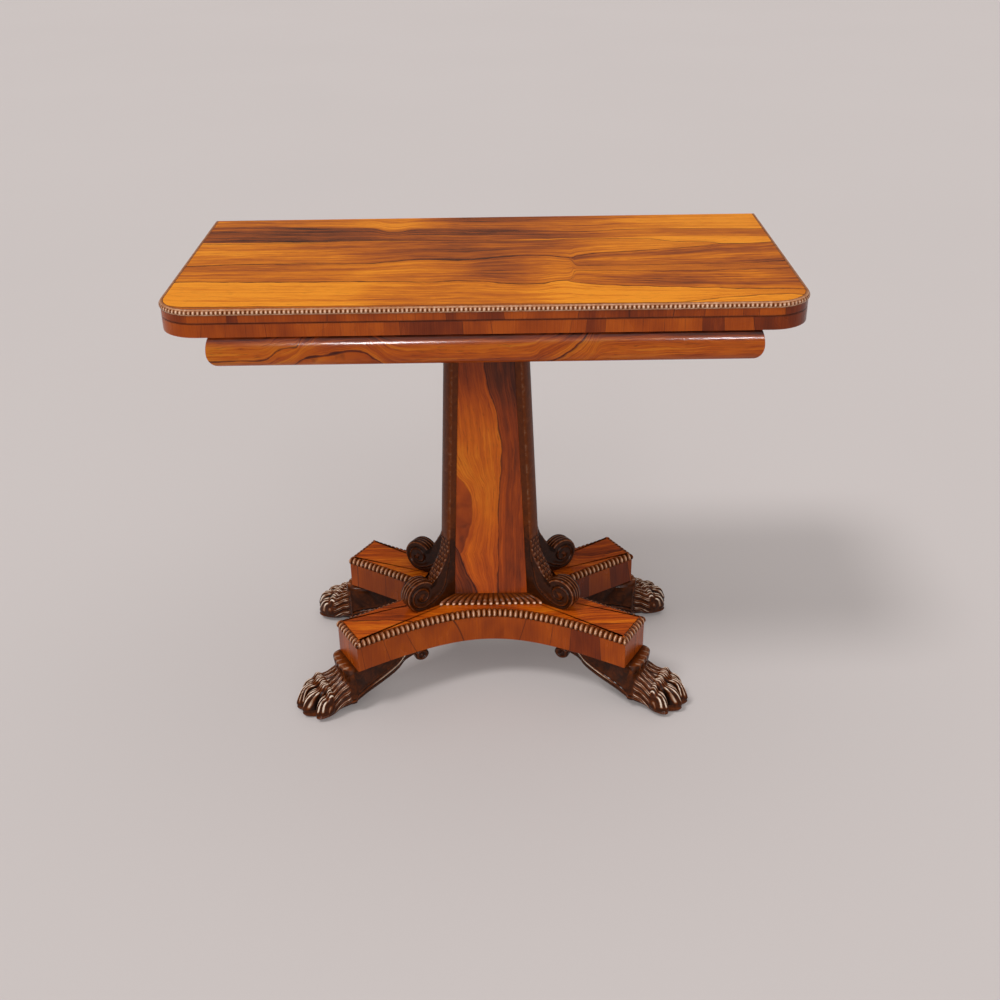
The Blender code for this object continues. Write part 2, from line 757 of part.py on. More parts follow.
head_sink = [(LOWER_BOTTOM, PIVOT_HEAD_R + FIT), (HEAD_TOP + FIT, PIVOT_HEAD_R + FIT)]
cut(lower_leaf, turned(head_sink, pivot_foot, UP, 24))
pivot_plate = add_part(
    "pivot_plate", prism(plate_rect, LOWER_BOTTOM + SKIN, PLATE_TOP), IRON, SWIVEL_AXIS
)
cut(pivot_plate, pivot_hole)
add_part(
    "pivot_bolt",
    turned(
        [
            (BOLT_END, PIVOT_R - END_EASE),
            (BOLT_END + END_EASE, PIVOT_R),
            (PLATE_TOP + SKIN, PIVOT_R),
            (PLATE_TOP + SKIN, PIVOT_HEAD_R),
            (HEAD_TOP, PIVOT_HEAD_R),
        ],
        pivot_foot,
        UP,
        24,
    ),
    IRON,
    SWIVEL_AXIS,
)
washer = add_part(
    "pivot_washer",
    turned([(WASHER_TOP - WASHER_T, WASHER_R), (WASHER_TOP, WASHER_R)], pivot_foot, UP, 24),
    IRON,
    SWIVEL_AXIS,
)
nut = add_part(
    "pivot_nut",
    turned([(NUT_TOP - NUT_H, NUT_R), (NUT_TOP, NUT_R)], pivot_foot, UP, 6),
    IRON,
    SWIVEL_AXIS,
)
for ringed in (washer, nut):
    cut(ringed, pivot_hole)
for side_name, sign in (("front", -1), ("back", 1)):
    spot = PLATE_SCREW_AT * sign
    head = (PIVOT_X + spot, PIVOT_Y + spot, LOWER_BOTTOM + 2 * SKIN)
    cut(lower_leaf, screw_shape(head, UP, FIT))
    cut(pivot_plate, screw_shape(head, UP, FIT))
    slot_half = (2 * SCREW_HEAD_R, SLOT_W / 2, SLOT_DEEP)
    make_screw(f"pivot_screw_{side_name}", head, UP, slot_half, IRON, SWIVEL_AXIS)
PEG_TOP = LOWER_BOTTOM + PEG_IN
peg_foot = (PEG_X, PEG_Y, 0.0)
peg_hole = [(LOWER_BOTTOM - OVERCUT, PEG_R + FIT), (PEG_TOP + FIT, PEG_R + FIT)]
cut(lower_leaf, turned(peg_hole, peg_foot, UP, 20))
add_part(
    "stop_peg",
    turned(
        [
            (LOWER_BOTTOM - PEG_DROP, PEG_R - END_EASE),
            (LOWER_BOTTOM - PEG_DROP + END_EASE, PEG_R),
            (PEG_TOP, PEG_R),
        ],
        peg_foot,
        UP,
        20,
    ),
    PINE,
    SWIVEL_AXIS,
)

# Upper leaf with its baize and the beading round its three open edges
UPPER_FACE = SPLIT_Z + LEAF_GAP / 2
BEAD_Z = TOP_H - BEAD_H


def edge_strip(section, back):
    """A strip round the left, front and right edges of a leaf up to its back line:
    section is (distance outward, height) pairs."""
    lines = []
    for out, z in section:
        path = leaf_outline(-out, back)
        path = np.concatenate([path[1:], path[:1]])
        lines.append(at_height(path, z))
    return loft(list(np.stack(lines, axis=1)))


upper_leaf = add_part(
    "upper_leaf",
    loft(
        leaf_rings(PIN_HIGH_Z, -1)[::-1] + [at_height(leaf_outline(0.0, LEAF_BACK), TOP_H)]
    ),
    ROSEWOOD,
    FOLD_AXIS,
)
cut(upper_leaf, prism(baize_outline(FIT), UPPER_FACE - OVERCUT, UPPER_FACE + BAIZE_T + FIT))
rebate_section = [
    (-BEAD_D - FIT, BEAD_Z - FIT),
    (OVERCUT, BEAD_Z - FIT),
    (OVERCUT, TOP_H + OVERCUT),
    (-BEAD_D - FIT, TOP_H + OVERCUT),
]
cut(upper_leaf, edge_strip(rebate_section, LEAF_BACK + OVERCUT))
add_part(
    "upper_baize",
    prism(baize_outline(0.0), UPPER_FACE, UPPER_FACE + BAIZE_T),
    BAIZE,
    FOLD_AXIS,
)
top_bead_section = [
    (-BEAD_D, BEAD_Z),
    (BEAD_PROUD * 0.6, BEAD_Z),
    (BEAD_PROUD, BEAD_Z + BEAD_H * 0.3),
    (BEAD_PROUD * 0.5, BEAD_Z + BEAD_H * 0.68),
    (-BEAD_D * 0.3, BEAD_Z + BEAD_H * 0.96),
    (-BEAD_D, TOP_H),
]
add_part("top_beading", edge_strip(top_bead_section, LEAF_BACK), CARVED, FOLD_AXIS)

# Hinges: brass plates let into the ends of both leaves, joined by a link on two pins
OUTER = TOP_W / 2 - SKIN
TONGUE = OUTER - LINK_T - FIT
MORTISE = TOP_W / 2 - HINGE_T - SKIN - FIT
PLATE_R = EDGE_R - FIT
for side_name, sx in (("left", -1), ("right", 1)):
    side_axis = (float(sx), 0.0, 0.0)
    inward = (float(-sx), 0.0, 0.0)
    link = add_part(
        f"hinge_link_{side_name}",
        mirrored(
            extruded_x(
                stadium(HINGE_Y, PIN_LOW_Z, HINGE_Y, PIN_HIGH_Z, LINK_HALF),
                OUTER - LINK_T,
                OUTER,
            ),
            sx,
            1,
        ),
        BRASS,
        LINK_AXIS,
    )
    for leaf_name, leaf, pin_z, face_z, origin in (
        ("lower", lower_leaf, PIN_LOW_Z, LOWER_FACE, SWIVEL_AXIS),
        ("upper", upper_leaf, PIN_HIGH_Z, UPPER_FACE, FOLD_AXIS),
    ):
        far_z = pin_z + math.copysign(EDGE_R, pin_z - face_z)
        past_z = face_z - math.copysign(OVERCUT, pin_z - face_z)
        recess = box(
            MORTISE,
            TOP_W / 2 + OVERCUT,
            HINGE_Y - HINGE_LEN - FIT,
            TOP_D / 2 + OVERCUT,
            min(far_z, past_z),
            max(far_z, past_z),
        )
        cut(leaf, mirrored(recess, sx, 1))
        blade = np.concatenate(
            [
                [(HINGE_Y - HINGE_LEN, pin_z + PLATE_R), (HINGE_Y - HINGE_LEN, pin_z - PLATE_R)],
                arc(HINGE_Y, pin_z, PLATE_R, -90, 90, 12),
            ]
        )
        plate = add_part(
            f"hinge_plate_{leaf_name}_{side_name}",
            mirrored(extruded_x(blade, OUTER - HINGE_T, OUTER), sx, 1),
            BRASS,
            origin,
        )
        lap = box(
            TONGUE,
            TOP_W / 2 + OVERCUT,
            HINGE_Y - LINK_HALF - 2 * FIT,
            TOP_D / 2 + OVERCUT,
            pin_z - OVERCUT,
            pin_z + OVERCUT,
        )
        cut(plate, mirrored(lap, sx, 1))
        pin_at = (0.0, HINGE_Y, pin_z)
        bore = [(OUTER - OVERCUT, PIN_R + FIT), (OUTER + OVERCUT, PIN_R + FIT)]
        cut(plate, turned(bore, pin_at, side_axis))
        cut(link, turned(bore, pin_at, side_axis))
        add_part(
            f"hinge_pin_{leaf_name}_{side_name}",
            turned(
                [(OUTER - HINGE_T + SKIN, PIN_R), (OUTER - 3 * SKIN, PIN_R)], pin_at, side_axis
            ),
            BRASS,
            origin,
        )
        for screw_name, back_by in (("near", HINGE_SCREW_NEAR), ("far", HINGE_SCREW_FAR)):
            head = (sx * (OUTER - SKIN), HINGE_Y - back_by, pin_z)
            cut(leaf, screw_shape(head, inward, FIT))
            cut(plate, screw_shape(head, inward, FIT))
            make_screw(
                f"hinge_screw_{leaf_name}_{side_name}_{screw_name}",
                head,
                inward,
                (SLOT_DEEP, SLOT_W / 2, 2 * SCREW_HEAD_R),
                BRASS,
                origin,
            )

# Smooth shading on the round faces, with the hard edges kept
for part in bpy.context.scene.objects:
    part.data.shade_smooth()
    part.data.set_sharp_from_angle(angle=SMOOTH_ANGLE)
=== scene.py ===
"""A fold-over swivel-top card table in rosewood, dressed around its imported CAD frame."""

import math

import bmesh
import bpy
import numpy as np
from mathutils import Matrix


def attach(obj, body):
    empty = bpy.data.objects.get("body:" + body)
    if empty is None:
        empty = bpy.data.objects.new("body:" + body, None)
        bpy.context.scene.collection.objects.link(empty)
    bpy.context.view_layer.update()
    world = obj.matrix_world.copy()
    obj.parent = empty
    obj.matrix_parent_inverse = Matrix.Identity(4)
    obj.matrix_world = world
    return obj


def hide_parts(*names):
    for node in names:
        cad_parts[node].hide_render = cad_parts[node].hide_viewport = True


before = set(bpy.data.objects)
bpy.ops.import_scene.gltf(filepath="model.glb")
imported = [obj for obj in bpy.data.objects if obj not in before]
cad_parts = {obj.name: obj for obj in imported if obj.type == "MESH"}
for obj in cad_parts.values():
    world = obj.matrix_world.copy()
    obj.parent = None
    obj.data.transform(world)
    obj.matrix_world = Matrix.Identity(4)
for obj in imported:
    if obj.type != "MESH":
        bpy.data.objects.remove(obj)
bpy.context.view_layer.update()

# Studio: the photograph's camera, a pale matt paper floor, a broad soft light overhead, a
# lamp from the front left, which lays the shadow to the right of the table and behind it,
# a weak fill from the front, and two small windows behind the camera that glint in polish.
CAMERA_AT = np.array([0.0169, -1.8383, 1.2962])
PITCH, YAW, ROLL = np.radians([28.036, 0.036, -0.808])
FOCAL_PIXELS, FRAME_PIXELS, SENSOR_MM = 1228.4, 1000.0, 36.0
FLOOR_HALF, FLOOR_DROP, PLAIN_SHARE, ROOM_FLOOR = 40.0, 0.0003, 0.20, "7A726E"
# light from overhead against a direction's height, from level to straight up
SKY = [(0.0, 0.44), (0.06, 0.40), (0.15, 0.10), (0.54, 0.10), (0.72, 0.55), (0.90, 1.05), (1.0, 1.05)]
# name, where it shines from, strength, and how wide it looks in degrees
LAMPS = [
    ("soft_lamp", (-0.48, -0.38, 1.0), 1.24, 15.0),
    ("front_fill", (0.10, -1.0, 0.50), 0.72, 50.0),
    ("window_left", (-0.095, -0.99, 0.06), 0.42, 4.5),
    ("window_right", (0.185, -0.98, 0.045), 0.20, 3.0),
]


def linear(code):
    """An sRGB hex colour as linear RGBA."""
    srgb = np.array([int(code[k : k + 2], 16) for k in (0, 2, 4)]) / 255.0
    rgb = np.where(srgb <= 0.04045, srgb / 12.92, ((srgb + 0.055) / 1.055) ** 2.4)
    return (*rgb.tolist(), 1.0)


def wire(owner, kind, inputs=None, out=0, stops=None, curve=None, **settings):
    """Adds one shader node of a kind to a material or world: its settings, the points of
    its ramp or curve, and each input as a value or as the socket that feeds it. Gives back
    one output."""
    tree = owner.node_tree
    made = tree.nodes.new(f"ShaderNode{kind}")
    for key, value in settings.items():
        setattr(made, key, value)
    for key, value in (inputs or {}).items():
        if isinstance(value, bpy.types.NodeSocket):
            tree.links.new(value, made.inputs[key])
        else:
            made.inputs[key].default_value = value
    if stops:
        ramp = made.color_ramp.elements
        while len(ramp) < len(stops):
            ramp.new(0.5)
        for element, (place, code) in zip(ramp, stops):
            element.position = place
            element.color = linear(code)
    if curve:
        mapping = made.mapping
        mapping.use_clip = False
        line = mapping.curves[0].points
        for place, value in curve[1:-1]:
            line.new(place, value)
        for point, (place, value) in zip(line, curve):
            point.location = (place, value)
            point.handle_type = "AUTO_CLAMPED"
        mapping.update()
    return made.outputs[out] if len(made.outputs) else made


def bare_material(name):
    """A node material with nothing in it yet."""
    material = bpy.data.materials.new(name)
    material.use_nodes = True
    material.node_tree.nodes.clear()
    return material


scene = bpy.context.scene
scene.view_settings.view_transform = "Standard"
ahead = np.array(
    [math.sin(YAW) * math.cos(PITCH), math.cos(YAW) * math.cos(PITCH), -math.sin(PITCH)]
)
level = np.array([math.cos(YAW), -math.sin(YAW), 0.0])
upright = np.cross(level, ahead)
stance = np.eye(4)
stance[:3, 0] = level * math.cos(ROLL) + upright * math.sin(ROLL)
stance[:3, 1] = upright * math.cos(ROLL) - level * math.sin(ROLL)
stance[:3, 2] = -ahead
stance[:3, 3] = CAMERA_AT
camera = bpy.data.objects.new("camera", bpy.data.cameras.new("camera"))
camera.data.sensor_width = SENSOR_MM
camera.data.lens = FOCAL_PIXELS * SENSOR_MM / FRAME_PIXELS
camera.matrix_world = Matrix(stance.tolist())
scene.collection.objects.link(camera)
scene.camera = camera

# Pale grey paper: matt, without gloss, so that only the soft shadow shows on it, and with a
# hardly seen change of tone over about 1.7 m.
MOTTLE_PER_METRE = 0.6
paper = bare_material("pale_grey_paper")
paper_at = wire(paper, "TexCoord", out="Object")
mottle = wire(paper, "TexNoise", {"Vector": paper_at, "Scale": MOTTLE_PER_METRE})
sheet_colour = wire(paper, "ValToRGB", {"Fac": mottle}, stops=[(0.2, "CBC3C1"), (0.8, "CDC5C3")])
matt = wire(
    paper,
    "BsdfPrincipled",
    {"Base Color": sheet_colour, "Roughness": 0.95, "Specular IOR Level": 0.0},
)
# seen directly, a fifth of the paper's colour is plain, which keeps its shadow light; light
# that falls on it elsewhere meets a darker room floor, so that undersides stay dark
room_floor = wire(paper, "BsdfDiffuse", {"Color": linear(ROOM_FLOOR), "Roughness": 0.0})
plain_paper = wire(paper, "Emission", {"Color": sheet_colour})
ways = wire(paper, "LightPath").node.outputs
mirrored = wire(
    paper, "Math", {0: ways["Is Glossy Ray"], 1: ways["Is Transmission Ray"]}, operation="MAXIMUM"
)
seen = wire(paper, "Math", {0: ways["Is Camera Ray"], 1: mirrored}, operation="MAXIMUM")
plain_share = wire(paper, "Math", {0: seen, 1: PLAIN_SHARE}, operation="MULTIPLY")
lit_paper = wire(paper, "MixShader", {0: plain_share, 1: matt, 2: plain_paper})
laid_floor = wire(paper, "MixShader", {0: seen, 1: room_floor, 2: lit_paper})
wire(paper, "OutputMaterial", {"Surface": laid_floor})
floor_mesh = bpy.data.meshes.new("floor")
corner = FLOOR_HALF * np.array([(-1, -1), (1, -1), (1, 1), (-1, 1)])
floor_mesh.from_pydata(
    np.column_stack([corner, np.full(4, -FLOOR_DROP)]).tolist(), [], [(0, 1, 2, 3)]
)
floor_mesh.materials.append(paper)
floor = bpy.data.objects.new("floor", floor_mesh)
scene.collection.objects.link(floor)

# the light overhead leaves the wall behind the table dark, since a bright one would veil
# the polished top at the camera's low angle
sky = bpy.data.worlds.new("light_overhead")
sky.use_nodes = True
sky.node_tree.nodes.clear()
facing = wire(sky, "TexCoord", out="Generated")
height = wire(sky, "SeparateXYZ", {0: facing}, out=2)
level_of_sky = wire(sky, "FloatCurve", {1: height}, curve=SKY)
glow = wire(sky, "Background", {"Color": linear("FFFDFB"), "Strength": level_of_sky})
wire(sky, "OutputWorld", {"Surface": glow})
scene.world = sky
for lamp_name, lamp_from, strength, spread in LAMPS:
    lamp = bpy.data.objects.new(lamp_name, bpy.data.lights.new(lamp_name, "SUN"))
    lamp.data.energy = strength
    lamp.data.angle = math.radians(spread)
    back = np.array(lamp_from) / np.linalg.norm(lamp_from)
    side = np.cross((0.0, 0.0, 1.0), back)
    side /= np.linalg.norm(side)
    aim = np.eye(4)
    aim[:3, 0], aim[:3, 1], aim[:3, 2] = side, np.cross(back, side), back
    lamp.matrix_world = Matrix(aim.tolist())
    scene.collection.objects.link(lamp)

# Paw feet: solid rosewood, carved and stained dark. A cuff hugs the arm's end, a ruff of
# hair falls from it over four toes, and a bracket runs in under the platform to a scroll.
FIT = 0.0003
FOOT_AT, FOOT_ANGLE = np.array([0.240, 0.127]), math.radians(25.5)
FOOT_TOP, FOOT_REACH, FOOT_TAIL, FOOT_HALF = 0.0882, 0.098, 0.137, 0.0405
SCROLL_R, SCROLL_Z, SCROLL_S = 0.0125, 0.0642, -0.1245
TOES_FROM, TOE_GAP, TOE_CUT, TOES_SHORTER = 0.043, 0.075, 0.011, 0.006
HAIR_DEEP, RUFF_DEEP, WISP_DEEP = 0.0017, 0.0026, 0.0004
LIP_FLARE, LIP_ROUND, FLUTE_DEEP, PAD_ROLL = 0.0055, 0.008, 0.0006, 0.0016
EDGE_AT, EDGE_HALF, EDGE_BEAD, EDGE_GROOVE = 0.0130, 0.0024, 0.0013, 0.0014
EYE_DEEP, EYE_PITCH, LEAFAGE_DEEP = 0.0011, 0.0084, 0.0013
# how much paler the foot is painted for each metre its carving stands up: wear and painted highlight
WEAR_AND_HIGHLIGHT_PER_METRE = 90.0


def fair(at, places, values):
    """A smooth curve through given points: cubic pieces, whose slope at a point is the
    harmonic mean of the slopes beside it, so that the curve never swings past a point."""
    x, y = np.asarray(places, float), np.asarray(values, float)
    step = np.diff(x)
    slope = np.diff(y) / step
    before, after = slope[:-1], slope[1:]
    same = before * after > 0
    mean = np.where(same, 2 * before * after / np.where(same, before + after, 1.0), 0.0)
    tangent = np.concatenate([slope[:1], mean, slope[-1:]])
    at = np.clip(at, x[0], x[-1])
    k = np.clip(np.searchsorted(x, at) - 1, 0, len(step) - 1)
    part = (at - x[k]) / step[k]
    return (
        (1 + 2 * part) * (1 - part) ** 2 * y[k]
        + part * (1 - part) ** 2 * step[k] * tangent[k]
        + part * part * (3 - 2 * part) * y[k + 1]
        - part * part * (1 - part) * step[k] * tangent[k + 1]
    )


def ease(value, low, high):
    """0 below low, 1 above high and a smooth cubic rise between."""
    part = np.clip((value - low) / (high - low), 0.0, 1.0)
    return part * part * (3 - 2 * part)


def hump(value, middle, width):
    """A bell of height 1 about a middle."""
    return np.exp(-(((value - middle) / width) ** 2))


def dome(value):
    """The height of a half circle over its middle line: 1 at 0, and 0 from 1 outwards."""
    return np.sqrt(np.clip(1 - value**2, 0, 1))


def closed(grid):
    """A grid with its first column repeated after its last."""
    return np.concatenate([grid, grid[:, :1]], axis=1)


def values_of(items, key, kind=np.int32, each=1):
    """What the items of a mesh say under a key, as one array with so many values for each."""
    found = np.empty(len(items) * each, kind)
    items.foreach_get(key, found)
    return found.reshape(-1, each) if each > 1 else found


def grid_mesh(name, points, around=False, ends=False, grain=None, rub=None):
    """A grid of points, rows by columns, as quads between neighbours. around joins the
    last column to the first and ends closes the first and last rows. grain is (along,
    across) in metres for a veneer, with one column more where the grid goes around, and
    the last argument is how pale each point is painted, by wear and by painted highlight."""
    rows, cols = points.shape[:2]
    if around:
        points = closed(points)
        rub = None if rub is None else closed(rub)
    span = points.shape[1]
    cell = np.arange(rows * span).reshape(rows, span)
    quads = [cell[:-1, :-1], cell[:-1, 1:], cell[1:, 1:], cell[1:, :-1]]
    faces = np.stack(quads, axis=-1).reshape(-1, 4).tolist()
    if ends:
        faces += [cell[0, :cols][::-1].tolist(), cell[-1, :cols].tolist()]
    mesh = bpy.data.meshes.new(name)
    mesh.from_pydata(points.reshape(-1, 3).tolist(), [], faces)
    if grain is not None:
        at = values_of(mesh.loops, "vertex_index")
        layer = mesh.uv_layers.new(name="grain")
        layer.data.foreach_set("uv", grain.reshape(-1, 2)[at].astype(np.float32).ravel())
    if rub is not None:
        wear_and_glint = mesh.attributes.new("rub", "FLOAT", "POINT")
        wear_and_glint.data.foreach_set("value", np.clip(rub, 0, 1).astype(np.float32).ravel())
    return mesh


def place(name, mesh, materials, body, nodes, slot, crease=35.0):
    """Merges a mesh's seams and poles, turns its faces outwards, shades it smooth up to a
    crease angle, and puts it on its body in the place of its CAD nodes."""
    form = bmesh.new()
    form.from_mesh(mesh)
    bmesh.ops.remove_doubles(form, verts=form.verts, dist=2e-6)
    bmesh.ops.dissolve_degenerate(form, edges=form.edges, dist=1e-7)
    bmesh.ops.recalc_face_normals(form, faces=form.faces)
    form.to_mesh(mesh)
    form.free()
    mesh.shade_smooth()
    mesh.set_sharp_from_angle(angle=math.radians(crease))
    for material in materials:
        mesh.materials.append(material)
    piece = bpy.data.objects.new(name, mesh)
    scene.collection.objects.link(piece)
    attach(piece, body)
    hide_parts(*nodes)
    return piece


def carved_foot():
    """Rings about the foot's line: each is a superellipse in (across, up), whose half
    width, sole and top are smooth curves along the foot. Past the ruff the rings are
    pulled forward to the toes' own ends, and locks, hair, edge bead and scroll are carved
    into the foot. Gives the grid and how pale each point is painted, by wear and by painted
    highlight."""
    # share runs along the foot from -1 at the scroll over 0 at the cuff to 1 at the toes'
    # tips, toe from 0 to 1 along the toes alone, wide across and rise up from -1 to 1
    turn = np.radians(np.linspace(0, 180, 29))
    run = np.concatenate(
        [
            SCROLL_S - SCROLL_R * np.cos(turn),
            np.linspace(SCROLL_S + SCROLL_R, 0.0, 60)[1:],
            np.linspace(0.0, TOES_FROM, 50)[1:],
            TOES_FROM + (FOOT_REACH - TOES_FROM) * np.sin(np.linspace(0, np.pi / 2, 60))[1:],
        ]
    )[:, None]
    share = np.where(run > 0, run / FOOT_REACH, run / FOOT_TAIL)
    step = (run - TOES_FROM) / (FOOT_REACH - TOES_FROM)
    toe = np.clip(step, 0.0, 1.0)
    half = FOOT_HALF * fair(
        share,
        [-1.0, -0.6, -0.3, -0.15, 0.0, 0.13, 0.24, 0.34, 0.46, 0.60, 0.80, 1.0],
        [0.45, 0.47, 0.60, 0.75, 0.92, 0.97, 0.84, 0.86, 0.95, 1.0, 1.01, 0.98],
    )
    low = FOOT_TOP * fair(
        share,
        [-0.80, -0.68, -0.59, -0.49, -0.29, -0.07, 0.15, 0.35, 0.48, 1.0],
        [0.78, 0.70, 0.55, 0.455, 0.335, 0.25, 0.12, 0.03, 0.0, 0.0],
    )
    low = low + fair(toe, [0.0, 0.70, 0.85, 0.95, 1.0], [0.0, 0.0, 0.002, 0.007, 0.0155])
    high = FOOT_TOP * fair(
        share,
        [0.155, 0.175, 0.195, 0.215, 0.26, 0.34, 0.44],
        [0.995, 0.98, 0.90, 0.76, 0.69, 0.64, 0.60],
    )
    toe_top = fair(
        toe,
        [0.0, 0.10, 0.20, 0.34, 0.46, 0.58, 0.72, 0.84, 0.93, 0.98, 1.0],
        [0.0529, 0.0560, 0.0565, 0.0515, 0.0470, 0.0460, 0.0430, 0.0360, 0.0270, 0.0205, 0.0160],
    )
    high = np.where(step > 0, toe_top, high)
    from_scroll = run - SCROLL_S
    arch = np.sqrt(np.maximum(SCROLL_R**2 - from_scroll**2, 1e-8))
    low = np.where(from_scroll < SCROLL_R, np.minimum(low, SCROLL_Z - arch), low)
    high = np.where(from_scroll < -1e-4, SCROLL_Z + arch, high)

    sides = zip((0.0, 0.5, 1.0, 1.5), (74, 136, 74, 26))
    angle = np.concatenate(
        [turns * np.pi + np.arctan(np.linspace(-1, 1, k, endpoint=False)) for turns, k in sides]
    )[None, :]
    power = fair(share, [-0.25, 0.05, 0.18, 0.34], [9.0, 7.0, 4.4, 3.2])
    bulge = (np.abs(np.cos(angle)) ** power + np.abs(np.sin(angle)) ** power) ** (-1 / power)
    wide, rise = np.cos(angle) * bulge, np.sin(angle) * bulge
    hand = np.sign(wide)
    across = half * wide
    z = 0.5 * (high + low) + 0.5 * (high - low) * rise
    upper = ease(rise, 0.35, 0.85)
    flank = ease(np.abs(wide), 0.55, 0.80) * (np.abs(rise) < 0.985)

    # toes: each ends at its own place, with a deep cut between it and the next
    tip = fair(
        np.abs(wide),
        [0.0, 0.10, 0.28, 0.44, 0.54, 0.64, 0.80, 0.93, 1.0],
        [0.0800, 0.0890, 0.0965, 0.0890, 0.0740, 0.0785, 0.0825, 0.0760, 0.0620],
    )
    tip = tip - TOES_SHORTER * ease(wide, 0.0, 0.5)
    along = np.where(step > 0, TOES_FROM + toe * (tip - TOES_FROM), run)
    gap = np.maximum(hump(np.abs(wide), 0.0, TOE_GAP), hump(np.abs(wide), 0.54, TOE_GAP))
    z = z - upper * gap * TOE_CUT * ease(toe, 0.25, 0.75) * (1 - toe) ** 0.3
    strand = np.cos(2 * np.pi * (9.6 * np.abs(wide) + 0.30 * np.sin(along * 150)))
    fur = ease(toe, 0.0, 0.12) - 0.7 * ease(toe, 0.26, 0.36) + 0.7 * ease(toe, 0.40, 0.52)
    hair = fur * (1 - ease(toe, 0.86, 0.98))
    carve = HAIR_DEEP * hair * strand * (1 - 0.6 * gap)

    # ruff: rounded locks that fall from under the cuff and sweep down towards the toes
    girth = wide + hand * 0.6 * (1 - rise)
    lock = np.abs(np.sin(np.pi * (3.1 * girth - hand * 2.2 * (share - 0.25)))) ** 0.7 - 0.5
    ruff = ease(share, 0.20, 0.25) * (1 - ease(share, 0.44, 0.58)) * ease(rise, -0.75, -0.4)
    wisp = np.cos(2 * np.pi * (11.0 * girth - hand * 7.0 * (share - 0.25)))
    tuft = ruff * (RUFF_DEEP * lock + WISP_DEEP * wisp)
    carve = carve + tuft
    side_carve = tuft * flank * (1 - upper)
    z = z + carve * upper
    across = across + hand * side_carve

    # cuff: round in plan, its lip flaring outwards over the ruff
    lip = ease(share, 0.05, 0.12) * (1 - ease(share, 0.23, 0.28))
    flute = np.cos(2 * np.pi * 3.0 * wide) * ease(z, 0.058, 0.070)
    along = along + lip * (LIP_FLARE * ease(z, 0.062, 0.086) - LIP_ROUND * np.abs(wide) ** 3)
    along = along + FLUTE_DEEP * lip * flute

    # pad: a smooth rolled edge along the floor, under the toes and beside them
    pad = 1 - ease(z, 0.0085, 0.0125)
    across = across + hand * PAD_ROLL * pad * flank * ease(share, 0.36, 0.62)
    along = along + PAD_ROLL * pad * ease(toe, 0.75, 0.90)

    # bracket: a raised bead over the lower edge with a groove on both sides, low leafage
    # above it, and the scroll's eye
    over = z - low
    bracket = 1 - ease(share, 0.20, 0.36)
    off = over - EDGE_AT
    bead = dome(off / EDGE_HALF)
    line = EDGE_BEAD * bead - EDGE_GROOVE * hump(np.abs(off), 0.0035, 0.0012)
    line = line + 0.0006 * hump(off, 0.0066, 0.0018)
    in_scroll = ease(-from_scroll, -SCROLL_R * 1.15, -SCROLL_R * 0.6)
    radius = np.hypot(from_scroll, z - SCROLL_Z)
    eye = EYE_DEEP * np.cos(2 * np.pi * np.minimum(radius, SCROLL_R) / EYE_PITCH)
    lobe = np.abs(np.sin(np.pi * (4.2 * share - 22.0 * over))) ** 0.5 - 0.8
    lobe = lobe * ease(over, 0.020, 0.025) * ease(share, -0.45, -0.30)
    line = line + LEAFAGE_DEEP * lobe * (1 - ease(share, 0.0, 0.15))
    flat = bracket * flank * ((1 - in_scroll) * line + in_scroll * eye)
    across = across + hand * flat

    z = np.clip(z, 0.0, FOOT_TOP)
    out = np.array([math.cos(FOOT_ANGLE), math.sin(FOOT_ANGLE)])
    beside = np.array([-out[1], out[0]])
    plan = FOOT_AT + along[..., None] * out + across[..., None] * beside
    # the foot's paleness: the strokes along the hair and the ruff's locks and the cuff's rim are
    # painted highlight as well as wear, and the cuts between the toes are darker
    broken = 0.72 + 0.28 * np.sin(along * 330 + 40 * np.abs(wide))
    raised = WEAR_AND_HIGHLIGHT_PER_METRE * (carve * upper + side_carve)
    wear_and_glint = 0.31 + raised + WEAR_AND_HIGHLIGHT_PER_METRE * flat
    fur = fur * (1 - ease(toe, 0.95, 1.0)) * ease(rise, -0.1, 0.5)
    wear_and_glint = wear_and_glint + 0.85 * fur * (1 - 0.7 * gap) * broken * ease(strand, 0.0, 0.95)
    wear_and_glint = wear_and_glint + 0.60 * ruff * ease(wisp, 0.2, 1.0) * ease(lock, 0.10, 0.42) * broken
    wear_and_glint = wear_and_glint - 0.42 * gap * upper * ease(toe, 0.25, 0.55)
    wear_and_glint = wear_and_glint + 0.12 * pad * ease(share, 0.36, 0.62) + 0.25 * lip * hump(z, 0.087, 0.002)
    wear_and_glint = wear_and_glint + 0.16 * lip * upper * ease(flute, 0.5, 1.0)
    # a pale line along the bracket's bead: painted highlight
    crest = hump(off, 0.0, 0.0014) * ease(-share, 0.10, 0.35) * (1 - in_scroll)
    wear_and_glint = wear_and_glint + 0.52 * bracket * flank * crest
    return np.concatenate([plan, z[..., None]], axis=-1), wear_and_glint


# Dark-stained carved rosewood, French polished: nearly black in the hollows, brown on the
# flats, and pale on the high places, partly worn there by hands and dusters and partly
# painted highlight that stands in for the polish's shine.
# The stain is cloudy, in patches of 8 mm that break up to 1 mm, and the polish gives a
# soft-edged shine.
STAIN_MM = 8.0


def surface(material, colour, rough, relief, strength, deep, more):
    """Ends a material: a surface of a colour and a roughness, with a pattern that stands up
    from it by a depth in metres, and with more of the shader's values."""
    bump = wire(material, "Bump", {"Height": relief, "Strength": strength, "Distance": deep})
    values = {"Base Color": colour, "Roughness": rough, "Normal": bump, **more}
    shaded = wire(material, "BsdfPrincipled", values)
    wire(material, "OutputMaterial", {"Surface": shaded})


